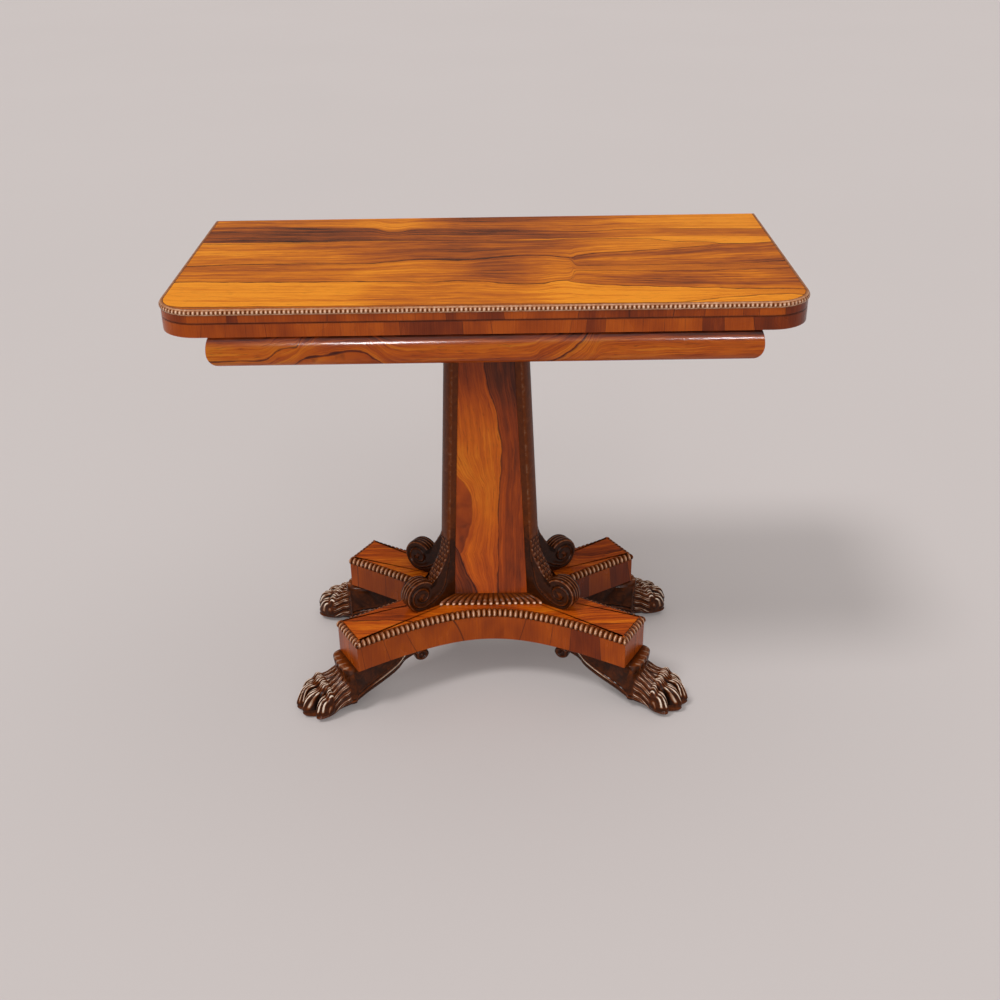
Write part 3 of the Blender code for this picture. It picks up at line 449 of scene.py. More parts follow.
def carved_rosewood(name, rubbed_and_highlit, wear_and_glint):
    """Carved rosewood by how pale each place is painted, by wear and by painted highlight:
    black, dark brown and red-brown below, and two given colours above, for the worn and
    highlit edges and for the crests, where the painted highlight is brightest."""
    carved = bare_material(name)
    where = wire(carved, "TexCoord", out="Object")
    stain = wire(
        carved,
        "TexNoise",
        {"Vector": where, "Scale": 1000.0 / STAIN_MM, "Detail": 3.0, "Distortion": 0.6},
    )
    raised = wire(carved, "Attribute", out="Fac", attribute_name="rub")
    stained = wire(carved, "Math", {0: stain, 1: 0.30, 2: -0.15}, operation="MULTIPLY_ADD")
    level = wire(carved, "Math", {0: raised, 1: stained}, operation="ADD")
    colour = wire(
        carved,
        "ValToRGB",
        {"Fac": level},
        stops=[(0, "120703"), (0.28, "381806"), (0.52, "703209"), (0.76, rubbed_and_highlit), (1, wear_and_glint)],
    )
    rough = wire(carved, "MapRange", {"Value": stain, "To Min": 0.12, "To Max": 0.24})
    dim_polish = {"IOR": 1.5, "Specular IOR Level": 0.16}
    surface(carved, colour, rough, stain, 0.18, 0.0004, dim_polish)
    return carved


# The feet and consoles are painted pale grey-brown on their crests and the beadings a
# warmer pale: wear, and painted highlight for the polish's shine.
dark_carving = carved_rosewood("carved_rosewood", "A6846A", "F2DECB")
beading_worn_and_highlit = carved_rosewood("rosewood_beading_worn_and_highlit", "AC7550", "F4CDB0")

foot_points, foot_wear_and_highlight = carved_foot()
QUARTERS = [
    (f"{end}_{hand}", np.array([turn_x, turn_y, 1.0]))
    for hand, turn_x in (("left", -1), ("right", 1))
    for end, turn_y in (("front", -1), ("back", 1))
]
for corner_name, mirror in QUARTERS:
    foot_mesh = grid_mesh(
        f"foot_{corner_name}", foot_points * mirror, around=True, ends=True, rub=foot_wear_and_highlight
    )
    place(
        f"carved_foot_{corner_name}",
        foot_mesh,
        [dark_carving],
        "base",
        [f"paw_foot_{corner_name}"],
        "dark_carved_rosewood",
        crease=55.0,
    )

# Platform: a slab with four arms and hollow sides, rosewood veneer laid lengthwise on its
# top and in upright crossbanded pieces round its sides, with a rebate for the beading.
PLAT_TOP, PLAT_BOTTOM, REBATE_Z, BEAD_IN = 0.147, 0.0885, 0.1342, 0.0078
ARM_IN, ARM_OUT = (0.22025, 0.17171), (0.25975, 0.10329)
FRONT_DEEP, SIDE_DEEP, FRONT_EASE, SIDE_EASE = 0.080, 0.121, 0.12, 0.03
ARRIS, SLAB_STEP, STEEP = 0.0008, 0.004, 0.7
# the veneers' veins in metres and in shares, their dark lines, the painted shade in the
# split between the leaves and under an overhang, and the polish on them
VEIN_APART, VEIN_THIN, VEIN_BROAD, VEIN_WANDER, OUTSIDE = 0.0015, 0.0013, 0.0030, 0.008, 0.15
DARK_LINE, PAINTED_SHADE_BY = "2A110A", 0.62
GLUE_MM, SPLIT_SHADE_WIDE = 1.1, 0.0021
POLISH = {"IOR": 1.5, "Specular IOR Level": 0.25}


def hollow(deep, far, width, soft, along):
    """A hyperbola that leaves its middle at deep and passes through (width, far)."""
    slope_squared = ((far - deep + soft) ** 2 - soft**2) / width**2
    return deep - soft + np.sqrt(soft**2 + slope_squared * along**2)


def lengths(path):
    """The distance along a path at each of its points."""
    return np.concatenate([[0], np.cumsum(np.hypot(*np.diff(path, axis=0).T))])


def points_at(path, at):
    """The points of a flat path at given distances along it."""
    return np.column_stack([np.interp(at, lengths(path), path[:, k]) for k in (0, 1)])


def platform_plan(spacing):
    """The platform's outline, counter-clockwise, with points about a spacing apart: two
    hollow curves in front and behind, two at the ends, and the straight arm ends."""
    x = np.linspace(-ARM_IN[0], ARM_IN[0], 101)
    front = np.column_stack([x, -hollow(FRONT_DEEP, ARM_IN[1], ARM_IN[0], FRONT_EASE, x)])
    y = np.linspace(-ARM_OUT[1], ARM_OUT[1], 61)
    end = np.column_stack([hollow(SIDE_DEEP, ARM_OUT[0], ARM_OUT[1], SIDE_EASE, y), y])
    rough = np.concatenate([front, end, -front, -end, front[:1]])
    total = lengths(rough)[-1]
    count = int(round(total / spacing))
    at = np.arange(count) * total / count
    return points_at(rough, at), at, total


def outward(plan, loop=True):
    """Unit normals to the right of an outline's direction, from the points beside each."""
    if loop:
        along = np.roll(plan, -1, axis=0) - np.roll(plan, 1, axis=0)
    else:
        along = np.gradient(plan, axis=0)
    along = along / np.linalg.norm(along, axis=1)[:, None]
    return np.column_stack([along[:, 1], -along[:, 0]])


def rosewood_veneer(
    name, size, lines, tones, colours, turn, gloss=(0.10, 0.18), streaks=(0.84, 0.92), dull=None
):
    """A figured rosewood veneer on the grain map, whose size is (along, across) in metres.
    Each line is a vein from the lowest up: a curve of the share across against the share
    along, and how dark it is. Each zone between them has a tone curve along the grain,
    and the grain is drawn out between its two veins, so that it runs with them. gloss is
    the range of its roughness, streaks how far its stripes and threads change the tone,
    and the last, if given, the shares across over which painted shade darkens it, as
    under an overhang."""
    board = bare_material(name)
    grain = wire(board, "UVMap", uv_map="grain")
    spot = wire(board, "SeparateXYZ", {0: grain}).node.outputs
    along, level = (
        wire(board, "Math", {0: spot[k], 1: 1 / size[k], 2: 0.5}, operation="MULTIPLY_ADD")
        for k in (0, 1)
    )
    # the veins wander by about 2 mm, in noise cells 36 mm long and 12 mm wide
    wide = wire(
        board, "Mapping", {"Vector": grain, "Location": (turn, turn, 0), "Scale": (28, 80, 1)}
    )
    wander = wire(board, "TexNoise", {"Vector": wide, "Scale": 1.0, "Detail": 5.0})
    swing = wire(
        board,
        "Math",
        {0: wander, 1: VEIN_WANDER / size[1], 2: -VEIN_WANDER / 2 / size[1]},
        operation="MULTIPLY_ADD",
    )
    across = wire(board, "Math", {0: level, 1: swing}, operation="ADD")
    # a vein stays 1.5 mm over the one below it, also where the two run together
    edges, curves = [-OUTSIDE], [curve for curve, _ in lines]
    for curve in (*curves, [(0, 1 + OUTSIDE), (1, 1 + OUTSIDE)]):
        course = wire(board, "FloatCurve", {1: along}, curve=curve)
        least = wire(board, "Math", {0: edges[-1], 1: VEIN_APART / size[1]}, operation="ADD")
        edges.append(wire(board, "Math", {0: course, 1: least}, operation="MAXIMUM"))
    courses = edges[1:-1]
    means = [np.mean([share for _, share in curve]) for curve in curves]
    middles = [-OUTSIDE, *means, 1 + OUTSIDE]
    flow = 0.0
    for low, high, reach in zip(edges, edges[1:], np.diff(middles)):
        wide_by = float(max(reach, 0.01) * size[1])
        between = {"Value": across, "From Min": low, "From Max": high, "To Max": wide_by}
        part = wire(board, "MapRange", between)
        flow = wire(board, "Math", {0: part, 1: flow}, operation="ADD")
    run = wire(board, "CombineXYZ", {0: spot[0], 1: flow, 2: turn})

    # noise cells to the metre, along and across: clouds of tone 200 by 77 mm; stripes 450
    # by 8 mm; threads of grain 77 by 2 mm, drawn coarser than the real half millimetre so
    # that they show; and dark pores 18 by 0.8 mm
    figure = []
    for place_on, per_metre, detail in (
        (grain, (5, 13, 1), 2.0),
        (run, (2.2, 120, 1), 3.0),
        (run, (13, 560, 1), 3.0),
        (run, (55, 1300, 1), 1.0),
    ):
        laid = wire(
            board,
            "Mapping",
            {"Vector": place_on, "Location": (turn, 0.3 * turn, 0), "Scale": per_metre},
        )
        drawn_out = {"Vector": laid, "Scale": 1.0, "Detail": detail, "Distortion": 0.25}
        figure.append(wire(board, "TexNoise", drawn_out))
    clouds, stripes, threads, flecks = figure
    vein_width = wire(
        board,
        "MapRange",
        {
            "Value": wander,
            "From Min": 0.35,
            "From Max": 0.65,
            "To Min": VEIN_THIN / size[1],
            "To Max": VEIN_BROAD / size[1],
        },
    )
    tone = wire(board, "FloatCurve", {1: along}, curve=tones[0])
    vein = wire(
        board, "MapRange", {"Value": flecks, "From Min": 0.60, "From Max": 0.78, "To Max": 0.45}
    )
    for course, (_, dark), tone_curve in zip(courses, lines, tones[1:]):
        off = wire(board, "Math", {0: across, 1: course}, operation="SUBTRACT")
        beyond = wire(
            board,
            "MapRange",
            {"Value": off, "From Min": -VEIN_APART / size[1], "From Max": VEIN_APART / size[1]},
            interpolation_type="SMOOTHSTEP",
        )
        zone = wire(board, "FloatCurve", {1: along}, curve=tone_curve)
        tone = wire(board, "Mix", {0: beyond, 2: tone, 3: zone}, data_type="FLOAT")
        near = wire(board, "Math", {0: off}, operation="ABSOLUTE")
        drawn = wire(
            board,
            "MapRange",
            {"Value": near, "From Max": vein_width, "To Min": dark, "To Max": 0.0},
            interpolation_type="SMOOTHSTEP",
        )
        vein = wire(board, "Math", {0: vein, 1: drawn}, operation="MAXIMUM")
    for noise, reach in zip((clouds, stripes, threads, wander), (0.60, *streaks, 0.24)):
        middle = wire(board, "Math", {0: tone, 1: -reach / 2}, operation="ADD")
        tone = wire(board, "Math", {0: noise, 1: reach, 2: middle}, operation="MULTIPLY_ADD")
    # painted shade: the veneer goes dark over the given shares across, close under an overhang
    if dull:
        shade = wire(
            board,
            "MapRange",
            {"Value": level, "From Min": dull[0], "From Max": dull[1], "To Max": -PAINTED_SHADE_BY},
        )
        tone = wire(board, "Math", {0: tone, 1: shade}, operation="ADD")
    wood = wire(
        board,
        "ValToRGB",
        {"Fac": tone},
        stops=[(k / (len(colours) - 1), code) for k, code in enumerate(colours)],
    )
    veined = wire(board, "Mix", {0: vein, 6: wood, 7: linear(DARK_LINE)}, out=2, data_type="RGBA")
    rough = wire(board, "MapRange", {"Value": clouds, "To Min": gloss[0], "To Max": gloss[1]})
    surface(board, veined, rough, threads, 0.06, 0.0004, POLISH)
    return board


def drawn_figure(seed, veins, pale):
    """Veins and tones for a board whose figure isn't seen: gently wandering curves, evenly
    spread across, and a tone for each zone about a middle one."""
    places, sway, spread, dark = 7, 0.20, 0.14, 0.8
    rng = np.random.default_rng(seed)
    along = np.linspace(0, 1, places).tolist()
    middle = (np.arange(veins) + 0.5) / veins
    course = middle[:, None] + rng.uniform(-sway, sway, (veins, places)) / veins
    shade = pale + rng.uniform(-spread, spread, (veins + 1, places))
    lines = [(list(zip(along, row)), dark) for row in course.tolist()]
    return lines, [list(zip(along, row)) for row in shade.tolist()]


# Rosewood veneer, lengthwise: red-orange under a French polish. Its red tones, dark to
# pale, serve the column, the friezes and the insides of the leaves too.
RED_TONES = ("30120A", "64280E", "90390F", "B84E10", "D66712", "E8841C")
platform_veneer = rosewood_veneer(
    "rosewood_platform_veneer", (0.52, 0.36), *drawn_figure(5, 3, 0.63), RED_TONES, turn=3.1
)


# Crossbanding: rosewood with its grain upright, a duller and browner red than the flats.
BAND_TONES = [
    (0.10, "3C1408"), (0.38, "762C0A"), (0.62, "A0440B"), (0.84, "BE5A0E"), (1.0, "D07018")
]


def crossbanding(name, piece_mm, turn, seam=0.0):
    """Rosewood crossbanding: upright pieces of veneer about as wide as given, each from
    another part of the log and so of a slightly other red-brown, with a fine dark glue
    line between neighbours and painted shade that fades 2 mm to either side of a seam at
    a given height, the split between the leaves. The grain map is (up, along the band)."""
    band = bare_material(name)
    grain = wire(band, "UVMap", uv_map="grain")
    spot = wire(band, "SeparateXYZ", {0: grain}).node.outputs
    # the pieces lean to one side or the other, in stretches of about 290 mm
    shifted = wire(band, "Math", {0: spot[1], 1: turn}, operation="ADD")
    slant = wire(
        band, "TexNoise", {"W": shifted, "Scale": 3.5, "Detail": 0.0}, noise_dimensions="1D"
    )
    lean = wire(band, "Math", {0: slant, 1: 1.4, 2: -0.7}, operation="MULTIPLY_ADD")
    run = wire(band, "Math", {0: spot[0], 1: lean, 2: shifted}, operation="MULTIPLY_ADD")
    cut = {"W": run, "Scale": 1000.0 / piece_mm, "Randomness": 0.8}
    cell = wire(band, "TexVoronoi", cut, out="Color", voronoi_dimensions="1D")
    to_joint = wire(band, "TexVoronoi", cut, voronoi_dimensions="1D", feature="DISTANCE_TO_EDGE")
    piece = wire(band, "SeparateColor", {0: cell})
    # noise cells to the metre, up and along: fibres 50 by 2 mm and patches 83 by 42 mm
    figure = []
    for per_metre, detail in (((20, 520, 1), 3.0), ((12, 24, 1), 2.0)):
        laid = wire(
            band, "Mapping", {"Vector": grain, "Location": (turn, turn, 0), "Scale": per_metre}
        )
        drawn_out = {"Vector": laid, "Scale": 1.0, "Detail": detail, "Distortion": 0.4}
        figure.append(wire(band, "TexNoise", drawn_out))
    fibres, patches = figure
    # most pieces are of one tone, and the rest darker
    shade = wire(band, "Math", {0: piece, 1: 0.45}, operation="MINIMUM")
    tone = wire(band, "Math", {0: shade, 1: 0.62, 2: -0.09}, operation="MULTIPLY_ADD")
    for noise, reach in ((fibres, 0.30), (patches, 0.56)):
        tone = wire(band, "Math", {0: noise, 1: reach, 2: tone}, operation="MULTIPLY_ADD")
    wood = wire(band, "ValToRGB", {"Fac": tone}, stops=BAND_TONES)
    glue = wire(
        band,
        "MapRange",
        {"Value": to_joint, "From Max": GLUE_MM / piece_mm, "To Min": 0.75, "To Max": 0.0},
        interpolation_type="SMOOTHSTEP",
    )
    # painted shade along the split between the leaves, fading 2 mm to either side of it
    from_seam = wire(band, "Math", {0: spot[0], 1: seam}, operation="SUBTRACT")
    off_seam = wire(band, "Math", {0: from_seam}, operation="ABSOLUTE")
    fading = {"Value": off_seam, "From Max": SPLIT_SHADE_WIDE, "To Min": 1.0, "To Max": 0.0}
    painted_split_shade = wire(band, "MapRange", fading)
    lines = wire(band, "Math", {0: glue, 1: painted_split_shade}, operation="MAXIMUM")
    joined = wire(band, "Mix", {0: lines, 6: wood, 7: linear(DARK_LINE)}, out=2, data_type="RGBA")
    rough = wire(band, "MapRange", {"Value": patches, "To Min": 0.18, "To Max": 0.34})
    surface(band, joined, rough, fibres, 0.06, 0.0004, POLISH)
    return band


platform_banding = crossbanding("rosewood_platform_banding", 62.0, 0.35)


def slab_mesh():
    """The outline lofted from the middle of the underside out to the edge, up the side, in
    over the rebate, up and back to the middle of the top. The grain map is (height,
    distance round) on the side and the plain plan on the flats."""
    plan, at, total = platform_plan(SLAB_STEP)
    away = outward(plan)
    rings, maps = [], []
    for share, out, z, upright_side in (
        (0.0, -ARRIS, PLAT_BOTTOM, False),
        (0.5, -ARRIS, PLAT_BOTTOM, False),
        (1.0, -ARRIS, PLAT_BOTTOM, False),
        (1.0, -ARRIS, PLAT_BOTTOM, True),
        (1.0, 0.0, PLAT_BOTTOM + ARRIS, True),
        (1.0, 0.0, REBATE_Z, True),
        (1.0, -BEAD_IN, REBATE_Z, True),
        (1.0, -BEAD_IN, PLAT_TOP, True),
        (1.0, -BEAD_IN, PLAT_TOP, False),
        (0.5, -BEAD_IN, PLAT_TOP, False),
        (0.0, -BEAD_IN, PLAT_TOP, False),
    ):
        ring = share * (plan + out * away)
        rings.append(np.column_stack([ring, np.full(len(ring), z)]))
        round_map = np.column_stack([np.full(len(ring) + 1, z), np.append(at, total)])
        flat_map = np.concatenate([ring, ring[:1]])
        maps.append(round_map if upright_side else flat_map)
    return grid_mesh("platform", np.stack(rings), around=True, grain=np.stack(maps))


def split_materials(mesh):
    """Gives flat faces the first material, upright ones the second, and those that look
    down the third, if there is one."""
    facing_up = values_of(mesh.polygons, "normal", np.float32, 3)[:, 2]
    under = 2 if len(mesh.materials) > 2 else 0
    index = np.where(np.abs(facing_up) < STEEP, 1, np.where(facing_up < 0, under, 0))
    mesh.polygons.foreach_set("material_index", index.astype(np.int32))


platform = place(
    "platform_slab",
    slab_mesh(),
    [platform_veneer, platform_banding],
    "base",
    ["platform"],
    "rosewood",
    crease=30.0,
)
split_materials(platform.data)

# Platform beading: a strip of carved rosewood glued in the rebate, cut with a gouge into
# upright egg-shaped lobes 9 mm apart, with a deep nick between neighbours.
PLAT_LOBE, PLAT_BEAD_Z = 0.0091, 0.1345
LOBE_STEPS, PATH_STEPS = np.array([0.0, 0.10, 0.28, 0.5, 0.72, 0.90]), 60


def lobed_strip(plan, away, share, section, core, nick, ground, crest, least=0.0):
    """A section of (outward, up) points carried along a path. At each nick between two
    lobes the section, or those of its points that have a nick of their own, is drawn in
    towards its core; share is the place within a lobe, 0 at the nick. Gives the grid of
    (x, y, z) and how pale each point is painted, by wear and by painted highlight: from a
    ground in the nick to that and the section's crest along the lobe's ridge, and at least
    so far along a plain fillet."""
    swell = dome(2 * share - 1)
    section, core = np.asarray(section), np.asarray(core)
    pull = (1 - swell)[:, None] * np.broadcast_to(nick, len(section))
    shape = section[None] + pull[..., None] * (core - section)[None]
    place_xy = plan[:, None, :] + shape[..., :1] * away[:, None, :]
    points = np.concatenate([place_xy, shape[..., 1:]], axis=-1)
    ridge = ease(swell, 0.84, 1.0)[:, None] * np.asarray(crest)[None]
    return points, np.maximum(ground * (1 + swell[:, None]) + ridge, least)


path, _, perimeter = platform_plan(PLAT_LOBE / PATH_STEPS)
lobes = 4 * int(round(perimeter / PLAT_LOBE / 4))
lobe_share = np.tile(LOBE_STEPS, lobes)
lobe_at = (np.repeat(np.arange(lobes), len(LOBE_STEPS)) + lobe_share) / lobes
lobe_index = np.round(lobe_at * len(path)).astype(int) % len(path)
lobe_plan = path[lobe_index]
plat_out = [-0.0072, 0.0006, 0.0023, 0.0022, 0.0005, -0.0028, -0.0072]
plat_up = PLAT_BEAD_Z + np.array([0.0, 0.0, 0.0026, 0.0058, 0.0092, 0.0119, 0.0125])
# the lobes are painted pale along their ridges: wear and painted highlight
bead_points, bead_wear_and_highlight = lobed_strip(
    lobe_plan,
    outward(lobe_plan),
    lobe_share,
    np.column_stack([plat_out, plat_up]),
    core=(-0.0055, PLAT_BEAD_Z + 0.0035),
    nick=0.38,
    ground=0.25,
    crest=[0.0, 0.06, 0.28, 0.46, 0.44, 0.26, 0.02],
)
bead_mesh = grid_mesh(
    "platform_beading",
    np.concatenate([bead_points, bead_points[:1]]),
    around=True,
    rub=np.concatenate([bead_wear_and_highlight, bead_wear_and_highlight[:1]]),
)
place(
    "platform_lobed_beading",
    bead_mesh,
    [beading_worn_and_highlit],
    "base",
    ["platform_beading"],
    "dark_carved_rosewood",
    crease=60.0,
)

# Column: a tapered rosewood-veneered post with canted corners, its arrises eased with a
# scraper, tenoned into the platform below and the bearer above.
COLUMN_FOOT, COLUMN_HEAD, TENON_L = 0.1473, 0.6365, 0.022
PANEL_BASE, PANEL_HEAD, HALF_DEPTH = 0.0626, 0.0418, 0.0446
CONSOLE_ANGLE, CONSOLE_T = math.radians(33.0), 0.026
CANT_X = CONSOLE_T * math.sin(CONSOLE_ANGLE)
CANT_Y = CONSOLE_T * math.cos(CONSOLE_ANGLE)
TENON_HALF, TENON_CUT = (0.030, 0.018), 0.004
PANEL_TAPER = PANEL_BASE - PANEL_HEAD
CANT_MID = np.array([PANEL_BASE + CANT_X / 2, HALF_DEPTH - CANT_Y / 2])
COLUMN_ARRIS, TENON_ARRIS, END_FIGURE = 0.0016, 0.0004, 0.02


def octagon(half_x, half_y, cut_x, cut_y, soft):
    """A rectangle with cut corners, counter-clockwise from the right end, each of its
    eight corners given a small round by a blend of its two sides (a quadratic curve)."""
    quarter = np.array([(half_x, half_y - cut_y), (half_x - cut_x, half_y)])
    other = quarter[::-1] * (-1, 1)
    corners = np.concatenate([quarter, other, -quarter, -other])
    before = np.roll(corners, 1, axis=0) - corners
    after = np.roll(corners, -1, axis=0) - corners
    before *= soft / np.linalg.norm(before, axis=1)[:, None]
    after *= soft / np.linalg.norm(after, axis=1)[:, None]
    part = np.linspace(0, 1, 5)[None, :, None]
    curve = corners[:, None] + (1 - part) ** 2 * before[:, None] + part**2 * after[:, None]
    return curve.reshape(-1, 2)


def column_mesh():
    """Eight-cornered rings lofted from tenon to tenon. The grain map is (height, distance
    from a face's middle line), so front and back show one figure, and the ends a part."""
    foot = octagon(PANEL_BASE + CANT_X, HALF_DEPTH, CANT_X, CANT_Y, COLUMN_ARRIS)
    depth = HALF_DEPTH - PANEL_TAPER * math.tan(CONSOLE_ANGLE)
    head = octagon(PANEL_HEAD + CANT_X, depth, CANT_X, CANT_Y, COLUMN_ARRIS)
    tenon = octagon(*TENON_HALF, TENON_CUT, TENON_CUT, TENON_ARRIS)
    levels = [
        (tenon, COLUMN_FOOT - TENON_L),
        (tenon, COLUMN_FOOT),
        (foot, COLUMN_FOOT),
        (head, COLUMN_HEAD),
        (tenon, COLUMN_HEAD),
        (tenon, COLUMN_HEAD + TENON_L),
    ]
    rings = np.stack([np.column_stack([ring, np.full(len(ring), up)]) for ring, up in levels])
    x, y, z = (closed(rings[..., k]) for k in (0, 1, 2))
    across = np.where(np.abs(y) > 0.6 * HALF_DEPTH, x, y - END_FIGURE)
    return grid_mesh(
        "column", rings, around=True, ends=True, grain=np.stack([z, across], axis=-1)
    )


# Rosewood veneer, upright: golden left of a long dark vein, red-brown right of it and
# darker towards the top, with a knot's figure low on the left.
COLUMN_SIZE = (0.98, 0.125)


def up_column(share):
    """A share of the column's height on the grain map, whose middle lies at the floor and
    whose length is twice the column's."""
    rise = COLUMN_HEAD - COLUMN_FOOT
    return (COLUMN_FOOT + share * rise) / COLUMN_SIZE[0] + 0.5


def on_panel(points):
    """Points of the column's front, (share of height, metres across), on the grain map."""
    return [(up_column(share), x / COLUMN_SIZE[1] + 0.5) for share, x in points]


def panel_tone(points):
    """Tones of the column's front against the share of its height, on the grain map."""
    return [(up_column(share), tone) for share, tone in points]


corner_vein = [
    (0, -0.023), (0.034, -0.025), (0.11, -0.042), (0.17, -0.050), (0.24, -0.064), (0.5, -0.09)
]
knot_rim = [
    (0, -0.070), (0.15, -0.060), (0.20, -0.046), (0.27, -0.036), (0.36, -0.028),
    (0.43, -0.034), (0.48, -0.052), (0.55, -0.075)
]
long_vein = [
    (0.015, 0.0125), (0.27, 0.0146), (0.37, 0.0158), (0.48, 0.0196), (0.58, 0.0217),
    (0.64, 0.0188), (0.74, 0.0104), (0.80, 0.002), (0.89, -0.004), (0.96, -0.0062)
]
column_veneer = rosewood_veneer(
    "rosewood_column_veneer",
    COLUMN_SIZE,
    [(on_panel(corner_vein), 0.9), (on_panel(knot_rim), 0.15), (on_panel(long_vein), 0.8)],
    [
        panel_tone([(0, 0.22), (0.3, 0.22)]),
        panel_tone([(0, 0.38), (0.2, 0.34), (0.36, 0.44), (0.5, 0.55)]),
        panel_tone([(0, 0.56), (0.25, 0.69), (0.5, 0.81), (0.7, 0.68), (0.85, 0.46), (0.95, 0.38)]),
        panel_tone([(0, 0.40), (0.4, 0.42), (0.7, 0.34), (0.85, 0.16), (1.0, 0.08)]),
    ],
    RED_TONES,
    turn=1.7,
    streaks=(0.44, 0.52),
)
place(
    "column_post",
    column_mesh(),
    [column_veneer],
    "base",
    ["column_core"],
    "rosewood",
    crease=50.0,
)

# Consoles: four strips of carved rosewood glued to the column's canted corners. Each is a
# plain round strip above, scaled like a fir cone where it sweeps out, and ends in a volute
# with a reeded rim and a spiral cut on both sides.
CONSOLE_STRIP, VOLUTE_R, VOLUTE_REACH, SWEEP_H = 0.013, 0.0285, 0.063, 0.116
WEB_Z, SCALE_ROW, SCALE_W, SCALE_DEEP = 0.236, 0.0082, CONSOLE_T / 3, 0.0020
REED_DEEP, EDGE_ROUND, CROWN_HIGH, SWEEP_ENDS = 0.0011, 0.0040, 0.0022, (0.266, 0.272)
LINE_HIGH, LINE_DEEP, EYE_R, EYE_HIGH = 0.0015, 0.0012, 0.0056, 0.0016
FACE_WEAR_AND_HIGHLIGHT_PER_METRE = 60.0
LEAN = (PANEL_TAPER / math.cos(CONSOLE_ANGLE)) / (COLUMN_HEAD - COLUMN_FOOT)
VOLUTE_Z = COLUMN_FOOT + VOLUTE_R


def against(z):
    """How far the column's canted corner lies in at a height: it leans in evenly."""
    return FIT - LEAN * (z - COLUMN_FOOT)


def console_lines():
    """The outline of a console's side as (reach, height) rows, and for each of its points
    the inner point that the side face runs to: the volute's centre for its rim, a line
    from there to the column for the sweep and the foot, and the column above that."""
    webs, rims = 96, 104
    angle = np.radians(np.linspace(-90, 150, rims))
    rim = np.column_stack(
        [VOLUTE_REACH + VOLUTE_R * np.cos(angle), VOLUTE_Z + VOLUTE_R * np.sin(angle)]
    )
    crease = rim[-1]
    sweep_top = COLUMN_FOOT + SWEEP_H
    z = np.concatenate(
        [
            np.linspace(crease[1], WEB_Z, webs),
            np.linspace(WEB_Z, sweep_top + 0.008, 48)[1:],
            np.linspace(sweep_top + 0.008, COLUMN_HEAD, 14)[1:],
        ]
    )
    share = fair(
        (z - crease[1]) / (sweep_top - crease[1]),
        [0.0, 0.22, 0.37, 0.50, 0.64, 0.78, 1.0, 1.1],
        [1.0, 0.76, 0.53, 0.33, 0.15, 0.05, 0.0, 0.0],
    )
    strip = CONSOLE_STRIP + against(z)
    front = strip + share * (crease[0] - strip[0])
    face = np.column_stack([front, z])
    centre = np.array([VOLUTE_REACH, VOLUTE_Z])
    post = np.array([against(WEB_Z), WEB_Z])
    web = post + np.linspace(0, 1, webs)[:, None] * (centre - post)
    foot = np.column_stack([np.linspace(FIT, VOLUTE_REACH, webs), np.full(webs, COLUMN_FOOT)])
    outline = np.concatenate([foot, rim[1:], face[1:]])
    upper = np.column_stack([against(z[webs:]), z[webs:]])
    inner = np.concatenate([web, np.tile(centre, (rims - 1, 1)), web[::-1][1:], upper])
    return outline, inner, webs, rims


def scales(climb, side):
    """Heights of overlapping scales over (distance up the sweep, distance across): rows
    half a scale apart, each scale rising from its root to a round tip that lies over the
    row above, with a groove down its middle."""
    row = climb / SCALE_ROW
    over = np.floor(row) - 1
    height = 0.0
    covered = np.zeros(np.broadcast(row, side).shape, bool)
    for each_row in (over, over + 1):
        x = (side / SCALE_W + 0.5 * (each_row % 2)) % 1.0 - 0.5
        y = row - each_row
        inside = (y < 1 + dome(2 * x)) & ~covered
        rise = 0.15 + 0.40 * y + 0.25 * (1 - (2 * x) ** 2) - 0.30 * hump(x, 0, 0.07)
        height = np.where(inside, rise, height)
        covered = covered | inside
    return height


